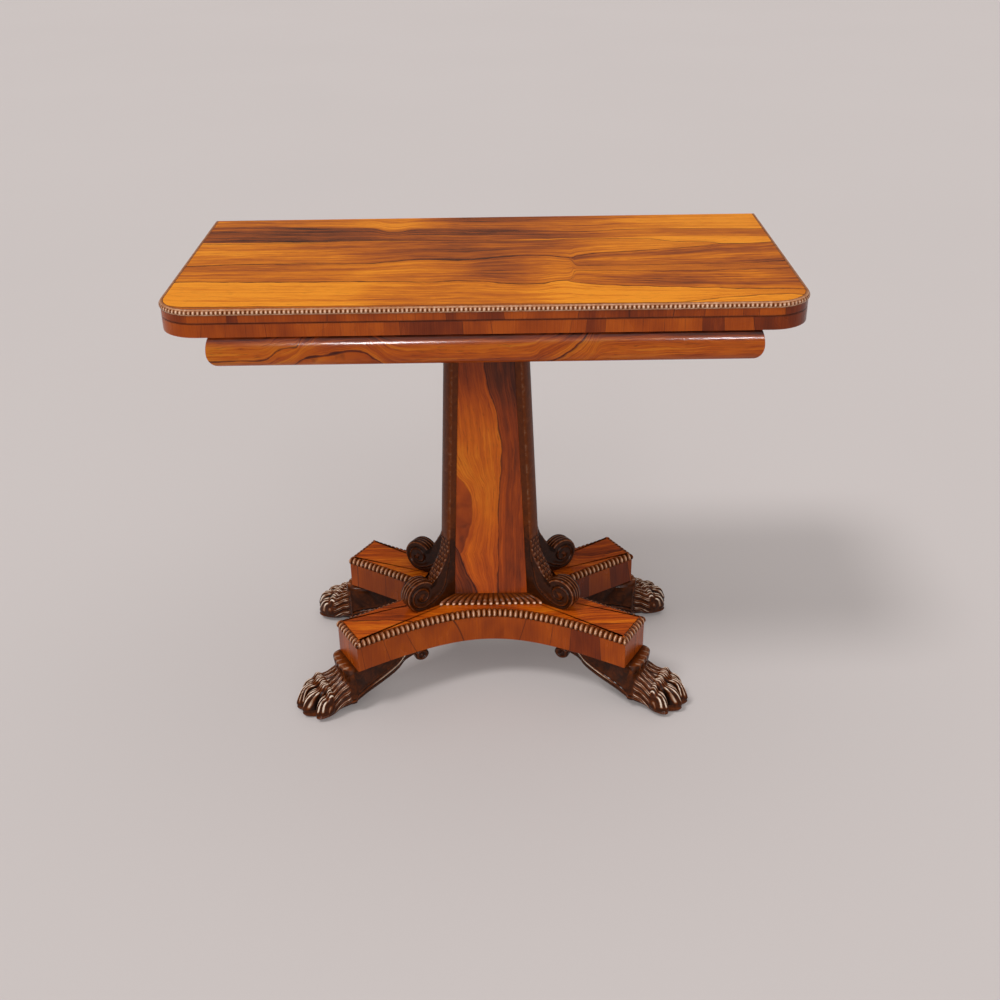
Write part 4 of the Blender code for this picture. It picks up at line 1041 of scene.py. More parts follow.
def carved_console():
    """The outline's face carried across the thickness, with scales and reeds pressed into
    it, joined to the two side faces that carry the raised line and its spiral."""
    outline, inner, webs, rims = console_lines()
    count = len(outline)
    along = np.gradient(outline, axis=0)
    along[0], along[webs - 1] = (1.0, 0.0), (1.0, 0.0)
    along /= np.linalg.norm(along, axis=1)[:, None]
    away = np.column_stack([along[:, 1], -along[:, 0]])
    length = lengths(outline)
    at = np.arange(count)
    rim_end = webs + rims - 2
    on_rim = ((at >= webs) & (at < rim_end))[:, None]
    on_face = (at >= rim_end)[:, None]
    climb = (length - length[rim_end])[:, None]
    half = CONSOLE_T / 2

    side = np.linspace(-half, half, 43)[None, :]
    drop = np.clip((np.abs(side) - (half - EDGE_ROUND)) / EDGE_ROUND, 0, 1)
    rounded = -EDGE_ROUND * (1 - np.sqrt(1 - 0.98 * drop**2)) * 0.7
    crown = CROWN_HIGH * (1 - (side / half) ** 2)
    z = outline[:, 1:]
    scaled = on_face * ease(climb, 0.001, 0.004) * (1 - ease(z, *SWEEP_ENDS))
    leaf = SCALE_DEEP * (scales(climb, side) - 0.45)
    angle = np.degrees(np.arctan2(z - VOLUTE_Z, outline[:, :1] - VOLUTE_REACH))
    reeded = on_rim * ease(angle, -65.0, -25.0)
    reed = np.abs(np.cos(np.pi * 4 * (side / (2 * half) + 0.5))) ** 0.7 - 0.55
    carve = scaled * leaf * (1 - 0.6 * drop) + reeded * REED_DEEP * reed * (1 - drop)
    plain = on_face * (1 - scaled) * crown
    grounded = ease(z, COLUMN_FOOT + 0.0005, COLUMN_FOOT + 0.012)
    lift = (carve + plain + rounded) * grounded
    face_at = outline[:, None] + lift[..., None] * away[:, None]
    face_sideways = np.broadcast_to(side, lift.shape)
    # the face is painted paler on the scales' tips, the reeds' crests and the rounded edges: wear and
    # painted highlight
    face_wear_and_highlight = 0.48 + FACE_WEAR_AND_HIGHLIGHT_PER_METRE * carve + 0.06 * drop * on_face
    face_wear_and_highlight = face_wear_and_highlight - 0.20 * (scaled + reeded)
    face_wear_and_highlight = face_wear_and_highlight + 0.26 * scaled * ease(leaf, 0.0007, 0.0013)
    face_wear_and_highlight = face_wear_and_highlight + 0.28 * reeded * ease(reed, 0.25, 0.45)

    inward = np.linspace(0, 1, 27)[1:]
    edge = face_at[:, 0]
    side_at = edge[:, None] + inward[None, :, None] * (inner - edge)[:, None]
    off_reach, off_height = side_at[..., 0] - VOLUTE_REACH, side_at[..., 1] - VOLUTE_Z
    radius = np.hypot(off_reach, off_height)
    bearing = np.degrees(np.arctan2(off_height, off_reach)) % 360.0
    line_angle = [110, 127, 140, 150, 180, 205, 240, 286, 360, 450, 540, 630, 720]
    line_radius = [0.13, 0.0935, 0.069, 0.056, 0.039, 0.0275, 0.0218, 0.0205, 0.0180]
    line_radius = line_radius + [0.0148, 0.0120, 0.0088, 0.0050]
    ridge, trough = 0.0, 0.0
    for whole_turn in (0.0, 360.0):
        turned = bearing + whole_turn
        off = radius - fair(turned, line_angle, line_radius)
        seen = (turned > 112) & (turned < 715)
        ridge = np.maximum(ridge, seen * hump(off, 0.0, 0.0013))
        trough = np.maximum(trough, seen * hump(off, 0.0026, 0.0014))
    eye = dome(radius / EYE_R)
    fade = np.sin(np.pi * np.clip(inward, 0, 1))[None, :] ** 0.5
    fade = np.where(on_rim, 1 - (inward[None, :] < 0.06), fade)
    relief = (LINE_HIGH * ridge - LINE_DEEP * trough) * fade + EYE_HIGH * eye * on_rim
    relief = np.where(side_at[..., 1] < COLUMN_FOOT + 0.001, np.minimum(relief, 0), relief)
    # the sides are painted paler on the raised line and the eye, wear and painted highlight, and
    # darker in the groove beside the line
    side_wear_and_highlight = 0.26 + 0.16 * ridge * fade + 0.16 * eye * on_rim - 0.10 * trough
    # painted light: the sides are lighter above 0.25 m, lifting the shade where they face the column
    side_wear_and_highlight = side_wear_and_highlight + 0.20 * ease(side_at[..., 1], 0.25, 0.30)

    all_at = np.concatenate([side_at[:, ::-1], face_at, side_at], axis=1)
    sideways = np.concatenate([-half - relief[:, ::-1], face_sideways, half + relief], axis=1)
    rub = np.concatenate([side_wear_and_highlight[:, ::-1], face_wear_and_highlight, side_wear_and_highlight], axis=1)
    reach = np.array([math.cos(CONSOLE_ANGLE), math.sin(CONSOLE_ANGLE)])
    beside = np.array([-reach[1], reach[0]])
    plan = CANT_MID + all_at[..., :1] * reach + sideways[..., None] * beside
    return np.concatenate([plan, all_at[..., 1:]], axis=-1), rub, webs, rims


def console_mesh(name, points, rub, webs, rims):
    """The console's grid, with quads added between its two sides for the back above the
    web, the foot of the back and the head."""
    rows, cols = points.shape[:2]
    mesh = grid_mesh(name, points, rub=rub)
    cell = np.arange(rows * cols).reshape(rows, cols)
    pairs = cols // 2
    form = bmesh.new()
    form.from_mesh(mesh)
    form.verts.ensure_lookup_table()
    back = cell[webs + rims - 2 + webs - 1 :, :]
    quads = [back[:-1, 0], back[1:, 0], back[1:, -1], back[:-1, -1]]
    extra = np.stack(quads, axis=-1).tolist()
    for row in (0, -1):
        left, right = cell[row, :pairs], cell[row, ::-1][:pairs]
        quads = [left[:-1], left[1:], right[1:], right[:-1]]
        extra += np.stack(quads, axis=-1).tolist()
        extra.append([left[-1], cell[row, pairs], right[-1]])
    for face in extra:
        form.faces.new([form.verts[k] for k in face])
    form.to_mesh(mesh)
    form.free()
    return mesh


console_points, console_wear_and_highlight, console_webs, console_rims = carved_console()
for corner_name, mirror in QUARTERS:
    place(
        f"carved_console_{corner_name}",
        console_mesh(
            f"console_{corner_name}",
            console_points * mirror,
            console_wear_and_highlight,
            console_webs,
            console_rims,
        ),
        [dark_carving],
        "base",
        [f"console_{corner_name}"],
        "dark_carved_rosewood",
        crease=55.0,
    )

# Column beading: four strips of carved rosewood on the platform along the column's foot,
# each cut into sloping lobes about 10 mm apart with a small bead at the lower end.
STRIP_H, STRIP_D, FRONT_LOBES, END_LOBES = 0.0125, 0.0185, 17, 6
STRIP_STEPS = np.linspace(0, 1, 11)[:-1]
SIDES = (("front", False, -1), ("back", False, 1), ("left", True, -1), ("right", True, 1))


def column_strip(near, start, slope, count):
    """A quarter-round section carried along x in front of a column's face, its ends cut
    along the consoles. Each lobe is narrow at the top and swells to a bead below."""
    share = np.append(np.tile(STRIP_STEPS, count), 0.0)
    at = np.append((np.repeat(np.arange(count), len(STRIP_STEPS)) + share[:-1]) / count, 1.0)
    out = np.array([0.0, 1.0, 1.0, 0.99, 0.95, 0.86, 0.72, 0.52, 0.28, 0.0])
    up = np.array([0.0, 0.0, 0.14, 0.28, 0.42, 0.58, 0.74, 0.88, 0.97, 1.0])
    deep = np.array([0.0, 0.10, 0.13, 0.12, 0.06, 0.11, 0.12, 0.10, 0.06, 0.0])
    swell = dome(2 * share - 1)[:, None]
    pull = 1 - deep[None] * (1 - swell) * 1.6
    depth = out[None] * pull * STRIP_D
    x = (2 * at[:, None] - 1) * (start + slope * depth)
    z = COLUMN_FOOT + up[None] * STRIP_H * (1 - 0.5 * (1 - pull))
    crest = np.array([0, 0.1, 0.6, 0.6, 0.1, 0.1, 0.12, 0.08, 0.04, 0.0])
    # the lobes are painted paler towards their crests and beads: wear and painted highlight
    rub = 0.24 + 0.22 * swell + ease(swell, 0.80, 1.0) * crest[None]
    return np.stack([x, near + depth, z], axis=-1), rub


side_step = (CONSOLE_T / 2 + FIT) * np.array([-math.sin(CONSOLE_ANGLE), math.cos(CONSOLE_ANGLE)])
front_near = HALF_DEPTH + FIT
front_at = CANT_MID + side_step
front_start = front_at[0] + (front_near - front_at[1]) / math.tan(CONSOLE_ANGLE)
end_near = PANEL_BASE + CANT_X + FIT
end_at = CANT_MID - side_step
end_start = end_at[1] + (end_near - end_at[0]) * math.tan(CONSOLE_ANGLE)
front_strip = column_strip(front_near, front_start, 1 / math.tan(CONSOLE_ANGLE), FRONT_LOBES)
end_strip = column_strip(end_near, end_start, math.tan(CONSOLE_ANGLE), END_LOBES)
for hand, at_end, sign in SIDES:
    strip_points, strip_wear_and_highlight = end_strip if at_end else front_strip
    strip_points = strip_points * (1, sign, 1)
    strip_points = strip_points[..., [1, 0, 2]] if at_end else strip_points
    place(
        f"column_lobed_strip_{hand}",
        grid_mesh(f"strip_{hand}", strip_points, around=True, ends=True, rub=strip_wear_and_highlight),
        [beading_worn_and_highlit],
        "base",
        [f"column_beading_{hand}"],
        "dark_carved_rosewood",
        crease=60.0,
    )

# Frame: pine rails, bearer, pivot rail and well floors, planed and left bare. They are
# flat sawn boards, so the CAD solids stay and only get their wood.

# Pine: matt and pale brown, with soft darker rings 36 mm apart that are drawn out along
# the table, clouded by old dust in patches of 110 mm. A wave texture of scale 1 has a ring
# in every pi / 5 metres.
RING_MM, DUST_PER_METRE = 36.0, 9.0
planed_pine = bare_material("planed_pine")
pine_at = wire(planed_pine, "TexCoord", out="Object")
pine_long = wire(planed_pine, "Mapping", {"Vector": pine_at, "Scale": (0.12, 1, 1)})
rings = wire(
    planed_pine,
    "TexWave",
    {
        "Vector": pine_long,
        "Scale": 1000.0 / RING_MM / 5 * math.pi,
        "Distortion": 6.0,
        "Detail": 3.0,
        "Detail Scale": 1.2,
    },
    bands_direction="DIAGONAL",
)
pine_dust = wire(
    planed_pine, "TexNoise", {"Vector": pine_at, "Scale": DUST_PER_METRE, "Detail": 5.0}
)
pine_tone = wire(planed_pine, "Math", {0: rings, 1: 0.45, 2: pine_dust}, operation="MULTIPLY_ADD")
pine_colour = wire(
    planed_pine,
    "ValToRGB",
    {"Fac": pine_tone},
    stops=[(0.25, "8A5F33"), (0.6, "B88750"), (0.95, "CDA06A")],
)
surface(planed_pine, pine_colour, 0.62, rings, 0.15, 0.0004, {})
rails = [f"rail_{hand}" for hand, _, _ in SIDES]
wells = ["well_floor_left", "well_floor_right"]
for node_name in (*rails, *wells, "column_bearer", "pivot_rail", "stop_peg"):
    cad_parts[node_name].material_slots[0].material = planed_pine

# Friezes: four cushion mouldings on the rails, pine faced with rosewood veneer bent round
# them lengthwise, mitred at the corners with a hairline joint.
FRIEZE_X, FRIEZE_Y, FRAME_BOTTOM, FRAME_H = 0.399, 0.192, 0.6368, 0.0625
MOULD_T, FULL_H, ROUND_IN, NECK_IN, NECK_H = 0.0225, 0.025, 0.0191, 0.0124, 0.0088
END_SHIFT = 0.2


def cushion_section():
    """(depth inward, height) points of the moulding: a quarter round up to its fullest
    line, a flatter round above it, and a short upright neck."""
    low = np.radians(np.linspace(270, 180, 19))
    high = np.radians(np.linspace(180, 90, 19))[1:]
    rise = FRAME_H - NECK_H - FULL_H
    lower = np.column_stack([(1 + np.cos(low)) * ROUND_IN, (1 + np.sin(low)) * FULL_H])
    upper = np.column_stack([(1 + np.cos(high)) * NECK_IN, FULL_H + np.sin(high) * rise])
    rest = [(NECK_IN, FRAME_H), (MOULD_T, FRAME_H), (MOULD_T, 0.0)]
    return np.concatenate([lower, upper, rest])


def frieze_mesh(name, at_end, sign):
    """The cushion section carried along one side and cut at 45 degrees at both ends. The
    grain map is (along, distance up the section), shifted for the pieces at the ends."""
    half_length, outer = (FRIEZE_Y, FRIEZE_X) if at_end else (FRIEZE_X, FRIEZE_Y)
    shift = END_SHIFT * sign if at_end else 0.0
    section = cushion_section()
    ends = np.array([-1.0, 1.0])[:, None]
    run = ends * (half_length - section[None, :, 0] - FIT / 2)
    out = np.broadcast_to(outer - section[:, 0], run.shape)
    z = np.broadcast_to(FRAME_BOTTOM + section[:, 1], run.shape)
    points = np.stack([out * sign, run, z] if at_end else [run, out * sign, z], axis=-1)
    girth = lengths(section)
    girth = np.append(girth, girth[-1] + FRAME_H)
    run = closed(run)
    grain = np.stack([run + shift, np.broadcast_to(girth, run.shape)], axis=-1)
    return grid_mesh(name, points, around=True, ends=True, grain=grain)


# Rosewood veneer, lengthwise: golden brown at the left with a dark flame under a rising
# vein, orange right of a slanting one, and painted shade close under the leaf.
FRIEZE_SIZE, FRIEZE_GLOSS, SHADE_UNDER_LEAF = (0.80, 0.1562), (0.08, 0.16), (0.805, 0.866)


def up_frieze(points):
    """(share of length, share up the moulding's face) on the grain map, whose middle across
    is the section's foot, and whose upper half is the face's girth of 78 mm."""
    return [(along, 0.5 + 0.5 * up) for along, up in points]


slant_vein = [
    (0, -0.3), (0.58, -0.2), (0.60, 0.0), (0.625, 0.17), (0.6625, 0.47), (0.678, 0.63),
    (0.694, 0.93), (0.71, 1.3), (1, 1.4),
]
flame_under = [
    (0, -0.25), (0.12, -0.20), (0.172, 0.28), (0.20, 0.35), (0.235, 0.40), (0.268, 0.46),
    (0.30, 0.30), (0.36, -0.20), (1, -0.25),
]
flame_over = [
    (0, -0.25), (0.12, -0.20), (0.172, 0.29), (0.195, 0.385), (0.21, 0.375), (0.23, 0.44),
    (0.25, 0.45), (0.268, 0.475), (0.30, 0.31), (0.36, -0.20), (1, -0.25),
]
rising_vein = [
    (0, 0.27), (0.10, 0.30), (0.134, 0.50), (0.163, 0.55), (0.172, 0.70), (0.19, 0.90),
    (0.22, 1.2), (0.6, 1.3), (1, 1.5),
]
frieze_veins = (slant_vein, flame_under, flame_over, rising_vein)
frieze_darkness = (0.5, 0.5, 0.5, 0.85)
frieze_veneer = rosewood_veneer(
    "rosewood_frieze_veneer",
    FRIEZE_SIZE,
    [(up_frieze(vein), dark) for vein, dark in zip(frieze_veins, frieze_darkness)],
    [
        [(0, 0.6), (0.6, 0.72), (0.75, 0.76), (1, 0.72)],
        [(0, 0.60), (0.2, 0.62), (0.3, 0.66), (1, 0.6)],
        [(0, 0.10), (1, 0.10)],
        [(0, 0.80), (0.15, 0.76), (0.22, 0.72), (0.30, 0.78), (0.4, 0.77), (0.6, 0.73), (1, 0.6)],
        [(0, 0.88), (0.2, 0.80), (1, 0.6)],
    ],
    RED_TONES,
    turn=0.4,
    gloss=FRIEZE_GLOSS,
    dull=SHADE_UNDER_LEAF,
)
plain_frieze_veneer = rosewood_veneer(
    "rosewood_frieze_veneer_plain",
    FRIEZE_SIZE,
    *drawn_figure(11, 5, 0.66),
    RED_TONES,
    turn=6.3,
    gloss=FRIEZE_GLOSS,
    dull=SHADE_UNDER_LEAF,
)
for hand, at_end, sign in SIDES:
    place(
        f"frieze_cushion_{hand}",
        frieze_mesh(f"frieze_{hand}", at_end, sign),
        [frieze_veneer if hand == "front" else plain_frieze_veneer],
        "base",
        [f"frieze_{hand}"],
        "rosewood",
        crease=40.0,
    )

# Pivot: a plate, bolt, washer, nut and screws under the lower leaf, of forged iron that
# has gone brown-black, with a little bright wear. The CAD solids stay.

# Iron: dull and dark, mottled by forge scale in marks of 4 mm.
MARKS_PER_METRE = 260.0
forged_iron = bare_material("forged_iron")
iron_at = wire(forged_iron, "TexCoord", out="Object")
scale_marks = wire(
    forged_iron, "TexNoise", {"Vector": iron_at, "Scale": MARKS_PER_METRE, "Detail": 5.0}
)
iron_colour = wire(
    forged_iron,
    "ValToRGB",
    {"Fac": scale_marks},
    stops=[(0.3, "2B2522"), (0.55, "4A423C"), (0.75, "6A5A4C")],
)
iron_rough = wire(forged_iron, "MapRange", {"Value": scale_marks, "To Min": 0.65, "To Max": 0.35})
surface(forged_iron, iron_colour, iron_rough, scale_marks, 0.3, 0.0003, {"Metallic": 0.9})
for node_name in ("plate", "bolt", "washer", "nut", "screw_front", "screw_back"):
    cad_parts[f"pivot_{node_name}"].material_slots[0].material = forged_iron

# Lower leaf: a board veneered with rosewood on both faces and crossbanded on its edges,
# rebated for its baize and cut for the hinges. Its CAD solid has the shape, so a merged
# copy of it carries the veneer.
TOP_W, TOP_D, CORNER_R, SPLIT_Z = 0.914, 0.457, 0.057, 0.7199


def edge_run(x, y):
    """Distance along a leaf's edge from the middle of the front: the straight front, the
    quarter round of the corner and then the end."""
    straight = TOP_W / 2 - CORNER_R
    bend = -TOP_D / 2 + CORNER_R
    over = np.clip(np.abs(x) - straight, 0, None)
    angle = np.arctan2(over, np.clip(bend - y, 0, None) + 1e-9)
    turned = np.where(np.abs(x) > straight, angle * CORNER_R, 0.0)
    return np.sign(x) * (np.minimum(np.abs(x), straight) + turned + np.clip(y - bend, 0, None))


def veneered_leaf(node, materials, body):
    """A merged copy of a leaf's solid, with the plan as the grain map on its flat faces
    and (height, distance along the edge) on its upright ones."""
    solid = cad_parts[node].data
    spot = values_of(solid.vertices, "co", np.float32, 3)
    mesh = bpy.data.meshes.new(node)
    sides = [list(side.vertices) for side in solid.polygons]
    mesh.from_pydata(spot.tolist(), [], sides)
    place(f"{node}_board", mesh, materials, body, [node], "rosewood", crease=30.0)
    split_materials(mesh)
    at = values_of(mesh.loops, "vertex_index")
    spot = values_of(mesh.vertices, "co", np.float32, 3)[at]
    start = values_of(mesh.polygons, "loop_start")
    total = values_of(mesh.polygons, "loop_total")
    upright = values_of(mesh.polygons, "material_index") == 1
    corner_at = np.repeat(start, total) + np.concatenate([np.arange(k) for k in total])
    upright_corner = np.zeros(len(mesh.loops), bool)
    upright_corner[corner_at] = np.repeat(upright, total)
    edge = np.column_stack([spot[:, 2], edge_run(spot[:, 0], spot[:, 1])])
    grain = np.where(upright_corner[:, None], edge, spot[:, :2])
    mesh.uv_layers.new(name="grain").data.foreach_set("uv", grain.astype(np.float32).ravel())


# Rosewood veneer of the inside faces: a darker red-brown and evenly figured. It shows only
# round the baize when the table is open, and from below.
inner_veneer = rosewood_veneer(
    "rosewood_inner_veneer", (TOP_W, TOP_D), *drawn_figure(23, 7, 0.50), RED_TONES, turn=9.2
)
lower_banding = crossbanding("rosewood_lower_edge_banding", 72.0, 0.9, SPLIT_Z)
veneered_leaf("lower_leaf", [inner_veneer, lower_banding], "lower_top")

# Lower baize: a sheet of green woollen cloth, cut to the rebate of the lower leaf's playing
# face, laid in glue and pressed flat, so that its face lies a little under the veneer.
BAIZE_HALF, BAIZE_FRONT, BAIZE_BACK, BAIZE_R = 0.423, -0.1945, 0.2145, 0.023
LOWER_CLOTH_Z, UPPER_CLOTH_Z = (0.7186, 0.7196), (0.7202, 0.7212)
CUT_EDGE, EDGE_SHARE, RIPPLE = 0.00012, 0.0006, 0.00005

# Baize: a fulled wool cloth whose nap hides the weave, so it looks soft, even and matt,
# with fibres 0.6 mm apart and a faint cloudiness of about 70 mm where it is brushed.
NAP_MM, BRUSHED_PER_METRE = 0.6, 14.0
green_baize = bare_material("green_wool_baize")
cloth_at = wire(green_baize, "TexCoord", out="Object")
nap = wire(
    green_baize, "TexNoise", {"Vector": cloth_at, "Scale": 1000.0 / NAP_MM / 2, "Detail": 2.0}
)
brushed = wire(
    green_baize, "TexNoise", {"Vector": cloth_at, "Scale": BRUSHED_PER_METRE, "Detail": 3.0}
)
cloth_tone = wire(green_baize, "Math", {0: nap, 1: 0.5, 2: brushed}, operation="MULTIPLY_ADD")
cloth_colour = wire(
    green_baize,
    "ValToRGB",
    {"Fac": cloth_tone},
    stops=[(0.0, "204E2F"), (0.75, "2B6038"), (1.0, "306A3E")],
)
wool = {"Specular IOR Level": 0.15, "Sheen Weight": 0.35, "Sheen Roughness": 0.4}
surface(green_baize, cloth_colour, 0.92, nap, 0.35, 0.0004, wool)


def baize_mesh(name, low, high, face_up):
    """A rounded rectangle's outline drawn in to its middle, below and above, with the cut
    edge between; the cloth's face is a little uneven, by a tenth of a millimetre in all."""
    turn = np.radians(np.linspace(0, 90, 7))
    round_x, round_y = BAIZE_R * np.cos(turn), BAIZE_R * np.sin(turn)
    right = np.column_stack([BAIZE_HALF - BAIZE_R + round_y, BAIZE_FRONT + BAIZE_R - round_x])
    steps = np.linspace(-1, 1, 41)[1:-1]
    front = np.column_stack([steps * (BAIZE_HALF - BAIZE_R), np.full(39, BAIZE_FRONT)])
    rear = np.column_stack([-steps * BAIZE_HALF, np.full(39, BAIZE_BACK)])
    up = np.linspace(BAIZE_FRONT + BAIZE_R, BAIZE_BACK, 20)[1:]
    end = np.column_stack([np.full(19, BAIZE_HALF), up])
    outline = np.concatenate(
        [front, right, end, rear, end[::-1] * (-1, 1), right[::-1] * (-1, 1)]
    )
    middle = np.array([0.0, (BAIZE_FRONT + BAIZE_BACK) / 2])
    scale = np.linspace(0, 1, 15)
    inset = 1 - EDGE_SHARE
    share = np.concatenate([scale[:-1] * inset, [inset, 1.0, 1.0, inset], scale[::-1][1:] * inset])
    z = np.concatenate([np.full(15, low), [low + CUT_EDGE, high - CUT_EDGE], np.full(15, high)])
    plan = middle + share[:, None, None] * (outline - middle)
    ripple = RIPPLE * np.sin(plan[..., 0] * 61 + 1.3 * np.sin(plan[..., 1] * 47))
    face = z == (high if face_up else low)
    height = z[:, None] + face[:, None] * ripple
    points = np.concatenate([plan, height[..., None]], axis=-1)
    return grid_mesh(name, points, around=True)


lower_cloth = place(
    "lower_baize_cloth",
    baize_mesh("lower_baize", *LOWER_CLOTH_Z, face_up=True),
    [green_baize],
    "lower_top",
    ["lower_baize"],
    "green_baize",
)

# Hinges: two card-table hinges let into the ends of the leaves, each of plates, pins, a
# link and screws in cast and filed brass. The CAD solids stay.

# Brass: yellow, streaked by a file in marks 1 mm apart and 17 mm long, and dulled by brown
# tarnish in patches of 8 mm.
FILE_MARKS_PER_METRE, TARNISH_PER_METRE = (900, 60, 900), 120.0
old_brass = bare_material("filed_brass")
brass_at = wire(old_brass, "TexCoord", out="Object")
filed = wire(old_brass, "Mapping", {"Vector": brass_at, "Scale": FILE_MARKS_PER_METRE})
file_marks = wire(old_brass, "TexNoise", {"Vector": filed, "Scale": 1.0, "Detail": 2.0})
tarnish = wire(
    old_brass, "TexNoise", {"Vector": brass_at, "Scale": TARNISH_PER_METRE, "Detail": 4.0}
)
brass_colour = wire(
    old_brass,
    "ValToRGB",
    {"Fac": tarnish},
    stops=[(0.3, "7A5A28"), (0.55, "B58E42"), (0.8, "CBA557")],
)
brass_rough = wire(old_brass, "MapRange", {"Value": file_marks, "To Min": 0.22, "To Max": 0.42})
surface(old_brass, brass_colour, brass_rough, file_marks, 0.1, 0.0002, {"Metallic": 1.0})
for node_name, node_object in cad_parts.items():
    if node_name.startswith("hinge_"):
        node_object.material_slots[0].material = old_brass

# Upper leaf: the show top when the table is closed. Rosewood veneer runs lengthwise over
# it in broad bands of gold, orange and purple-brown, parted by dark veins that meet at a
# knot right of the middle; its edges are crossbanded and it is rebated for a beading.
DRAWN_WIDE, DRAWN_DEEP = 1600.0, 800.0


def on_top(points):
    """(x, y) on a drawing of the top, from its back left corner, as shares of the grain
    map."""
    return [(x / DRAWN_WIDE, 1 - y / DRAWN_DEEP) for x, y in points]


# the veins, from the back of the top to its front; two pairs run together left of the knot
vein_a = [
    (0, 75), (100, 70), (200, 82), (330, 97), (470, 104), (540, 146), (600, 121), (680, 122),
    (760, 140), (850, 146), (960, 156), (1080, 165), (1130, 163), (1200, 149), (1400, 152),
    (1600, 163),
]
edge_h = [
    (0, 233), (180, 235), (340, 240), (440, 231), (600, 236), (780, 240), (830, 236),
    (960, 236), (1040, 232), (1150, 232), (1260, 228), (1400, 232), (1600, 242),
]
vein_b = [
    (0, 246), (180, 247), (330, 246), (440, 232), (600, 237), (780, 242), (850, 251),
    (960, 252), (1040, 240), (1150, 243), (1260, 251), (1330, 280), (1420, 290), (1455, 305),
    (1520, 310), (1600, 296),
]
joined_upper = [
    (0, 452), (150, 440), (300, 440), (470, 448), (550, 432), (640, 418), (740, 430),
    (800, 418), (890, 396), (950, 395), (1005, 412),
]
vein_c = joined_upper + [
    (1030, 420), (1045, 403), (1080, 386), (1150, 372), (1290, 350), (1400, 325), (1455, 307),
    (1520, 311), (1600, 297),
]
vein_e = joined_upper + [
    (1026, 420), (1042, 488), (1150, 489), (1250, 487), (1450, 486), (1600, 474),
]
joined_lower = [
    (0, 580), (200, 590), (450, 597), (600, 605), (660, 612), (720, 603), (790, 610),
    (850, 628), (930, 635),
]
vein_f = joined_lower + [
    (1000, 610), (1022, 600), (1036, 533), (1150, 538), (1250, 544), (1450, 540), (1600, 534),
]
vein_d = joined_lower + [
    (1000, 612), (1030, 628), (1090, 648), (1200, 665), (1400, 690), (1600, 705),
]
vein_g = [
    (0, 752), (70, 776), (200, 779), (400, 783), (900, 787), (1250, 790), (1350, 770),
    (1430, 752), (1530, 740), (1600, 752),
]
drawn_veins = (vein_g, vein_d, vein_f, vein_e, vein_c, vein_b, edge_h, vein_a)
vein_darkness = (0.8, 0.9, 0.75, 0.75, 0.9, 0.9, 0.0, 0.7)
# a tone for each zone between them, from the front of the top to its back
top_tones = [
    [(0, 0.50), (0.7, 0.60), (0.8, 0.90), (1, 0.92)],
    [
        (0, 1.0), (0.18, 1.0), (0.28, 0.91), (0.36, 0.68), (0.45, 0.66), (0.52, 0.64),
        (0.60, 0.83), (0.67, 1.0), (0.75, 1.0), (0.85, 0.87), (0.93, 0.80), (1, 0.70),
    ],
    [(0, 0.6), (0.66, 0.55), (0.8, 0.51), (0.9, 0.59), (1, 0.58)],
    [
        (0, 0.64), (0.2, 0.64), (0.35, 0.66), (0.46, 0.56), (0.53, 0.42), (0.58, 0.50),
        (0.63, 0.60), (0.66, 0.54), (0.8, 0.52), (1, 0.56),
    ],
    [(0, 0.5), (0.66, 0.50), (0.75, 0.55), (0.92, 0.52), (1, 0.56)],
    [
        (0, 0.76), (0.10, 0.74), (0.20, 0.68), (0.30, 0.55), (0.40, 0.40), (0.48, 0.33),
        (0.56, 0.42), (0.65, 0.62), (0.75, 0.76), (0.88, 0.76), (1, 0.70),
    ],
    [(0, 0.86), (0.2, 0.90), (0.5, 0.6), (0.6, 0.88), (0.75, 0.85), (0.84, 0.98), (1, 0.98)],
    [
        (0, 0.34), (0.06, 0.28), (0.15, 0.22), (0.27, 0.20), (0.33, 0.28), (0.40, 0.31),
        (0.5, 0.31), (0.6, 0.36), (0.68, 0.48), (0.75, 0.64), (0.9, 0.72), (1, 0.68),
    ],
    [
        (0, 0.64), (0.1, 0.64), (0.20, 0.64), (0.30, 0.70), (0.35, 0.72), (0.41, 0.55),
        (0.48, 0.42), (0.60, 0.48), (0.70, 0.60), (0.80, 0.78), (0.92, 0.98), (1, 0.90),
    ],
]
GOLD_TONES = ("3C1A10", "743A1C", "A04E1C", "C66818", "E48218", "FA9A22")
top_veneer = rosewood_veneer(
    "rosewood_top_veneer",
    (TOP_W, TOP_D),
    [(on_top(vein), dark) for vein, dark in zip(drawn_veins, vein_darkness)],
    top_tones,
    GOLD_TONES,
    turn=2.3,
)
upper_banding = crossbanding("rosewood_upper_edge_banding", 56.0, 2.1, SPLIT_Z)
veneered_leaf("upper_leaf", [top_veneer, upper_banding, inner_veneer], "upper_top")

# Upper baize: the same cloth in the rebate of the upper leaf's playing face, which looks
# down while the table is closed.
upper_cloth = place(
    "upper_baize_cloth",
    baize_mesh("upper_baize", *UPPER_CLOTH_Z, face_up=False),
    [green_baize],
    "upper_top",
    ["upper_baize"],
    "green_baize",
)

# Top beading: a strip of carved rosewood glued in a rebate round the three open edges of
# the upper leaf, gouged into close round reeds 6 mm apart between two narrow fillets, and
# pale on its reeds and fillets: worn by hands, and painted highlight and sheen.
TOP_H, BEAD_H, TOP_LOBE, LEAF_BACK = 0.740, 0.008, 0.00624, 0.2282


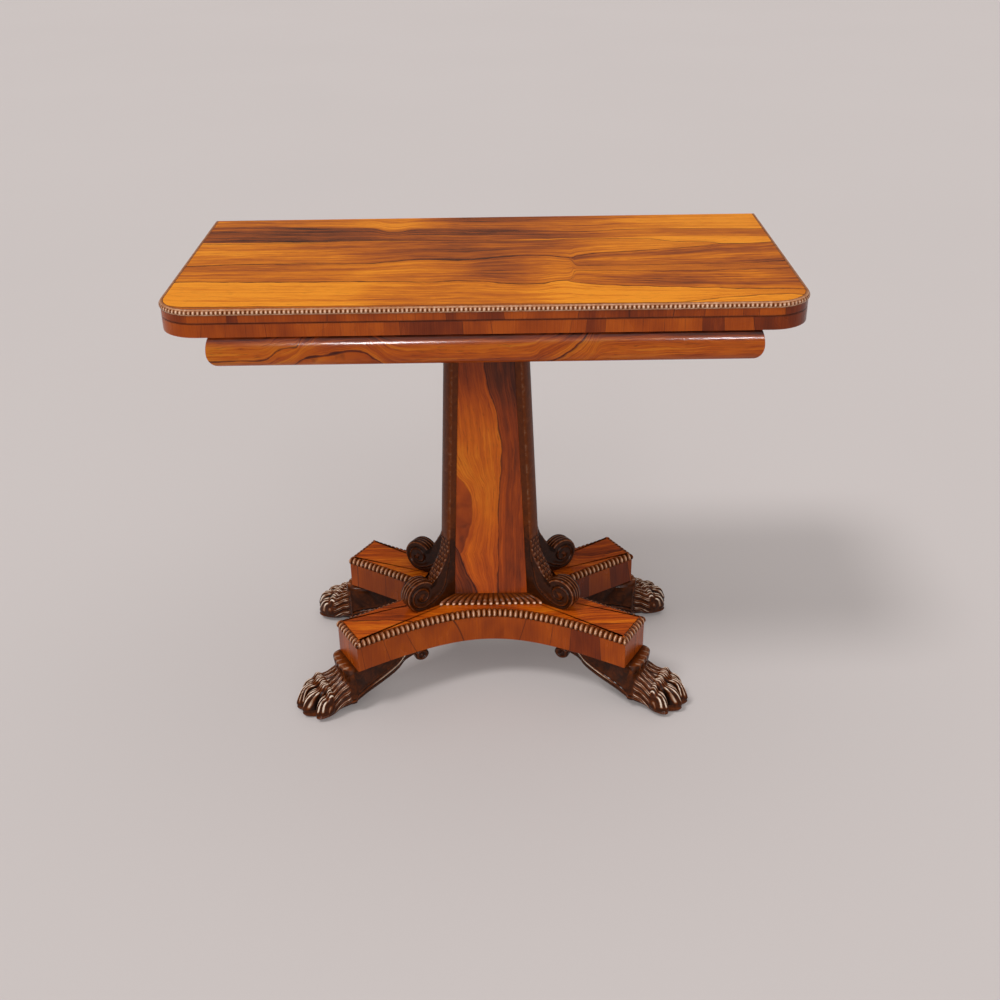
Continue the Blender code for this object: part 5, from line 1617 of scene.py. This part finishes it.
def leaf_path(spacing):
    """The open edge of a leaf, from its back left corner along the left end, the front
    and the right end, with points a spacing apart."""
    turn = np.radians(np.linspace(0, 90, 40))
    straight, bend = TOP_W / 2 - CORNER_R, -TOP_D / 2 + CORNER_R
    curve = np.column_stack([straight + CORNER_R * np.sin(turn), bend - CORNER_R * np.cos(turn)])
    right = np.concatenate([curve, [(TOP_W / 2, LEAF_BACK)]])
    rough = np.concatenate([right[::-1] * (-1, 1), right])
    total = lengths(rough)[-1]
    return points_at(rough, np.linspace(0, total, int(round(total / spacing)) + 1))


top_path = leaf_path(TOP_LOBE / PATH_STEPS)
reeds = (len(top_path) - 1) // PATH_STEPS
reed_share = np.append(np.tile(LOBE_STEPS, reeds), 0.0)
reed_at = np.append((np.repeat(np.arange(reeds), len(LOBE_STEPS)) + reed_share[:-1]), reeds)
reed_index = np.round(reed_at / reeds * (len(top_path) - 1)).astype(int)
reed_plan, reed_away = top_path[reed_index], outward(top_path, loop=False)[reed_index]
BEAD_Z = TOP_H - BEAD_H
reed_out = [-0.0044, 0.0008, 0.0010, 0.0018, 0.0020, 0.0014, 0.0004, 0.0, -0.0014, -0.0044]
reed_up = [0.0, 0.0, 0.0010, 0.0020, 0.0036, 0.0052, 0.0062, 0.0072, 0.0080, 0.0080]
# the reeds' crests and the fillets are painted pale: wear, painted highlight and painted sheen
reed_points, reed_wear_and_highlight = lobed_strip(
    reed_plan,
    reed_away,
    reed_share,
    np.column_stack([reed_out, BEAD_Z + np.array(reed_up)]),
    core=(-0.0034, BEAD_Z + 0.0030),
    nick=[0, 0, 0, 0.26, 0.34, 0.28, 0.08, 0, 0, 0],
    ground=0.34,
    crest=[0, 0, 0.10, 0.40, 0.46, 0.36, 0.10, 0, 0, 0],
    least=[0.2, 0.78, 0.84, 0, 0, 0, 0.30, 0.80, 0.76, 0.56],
)
place(
    "top_reeded_beading",
    grid_mesh("top_beading", reed_points, around=True, ends=True, rub=reed_wear_and_highlight),
    [beading_worn_and_highlit],
    "upper_top",
    ["top_beading"],
    "dark_carved_rosewood",
    crease=60.0,
)
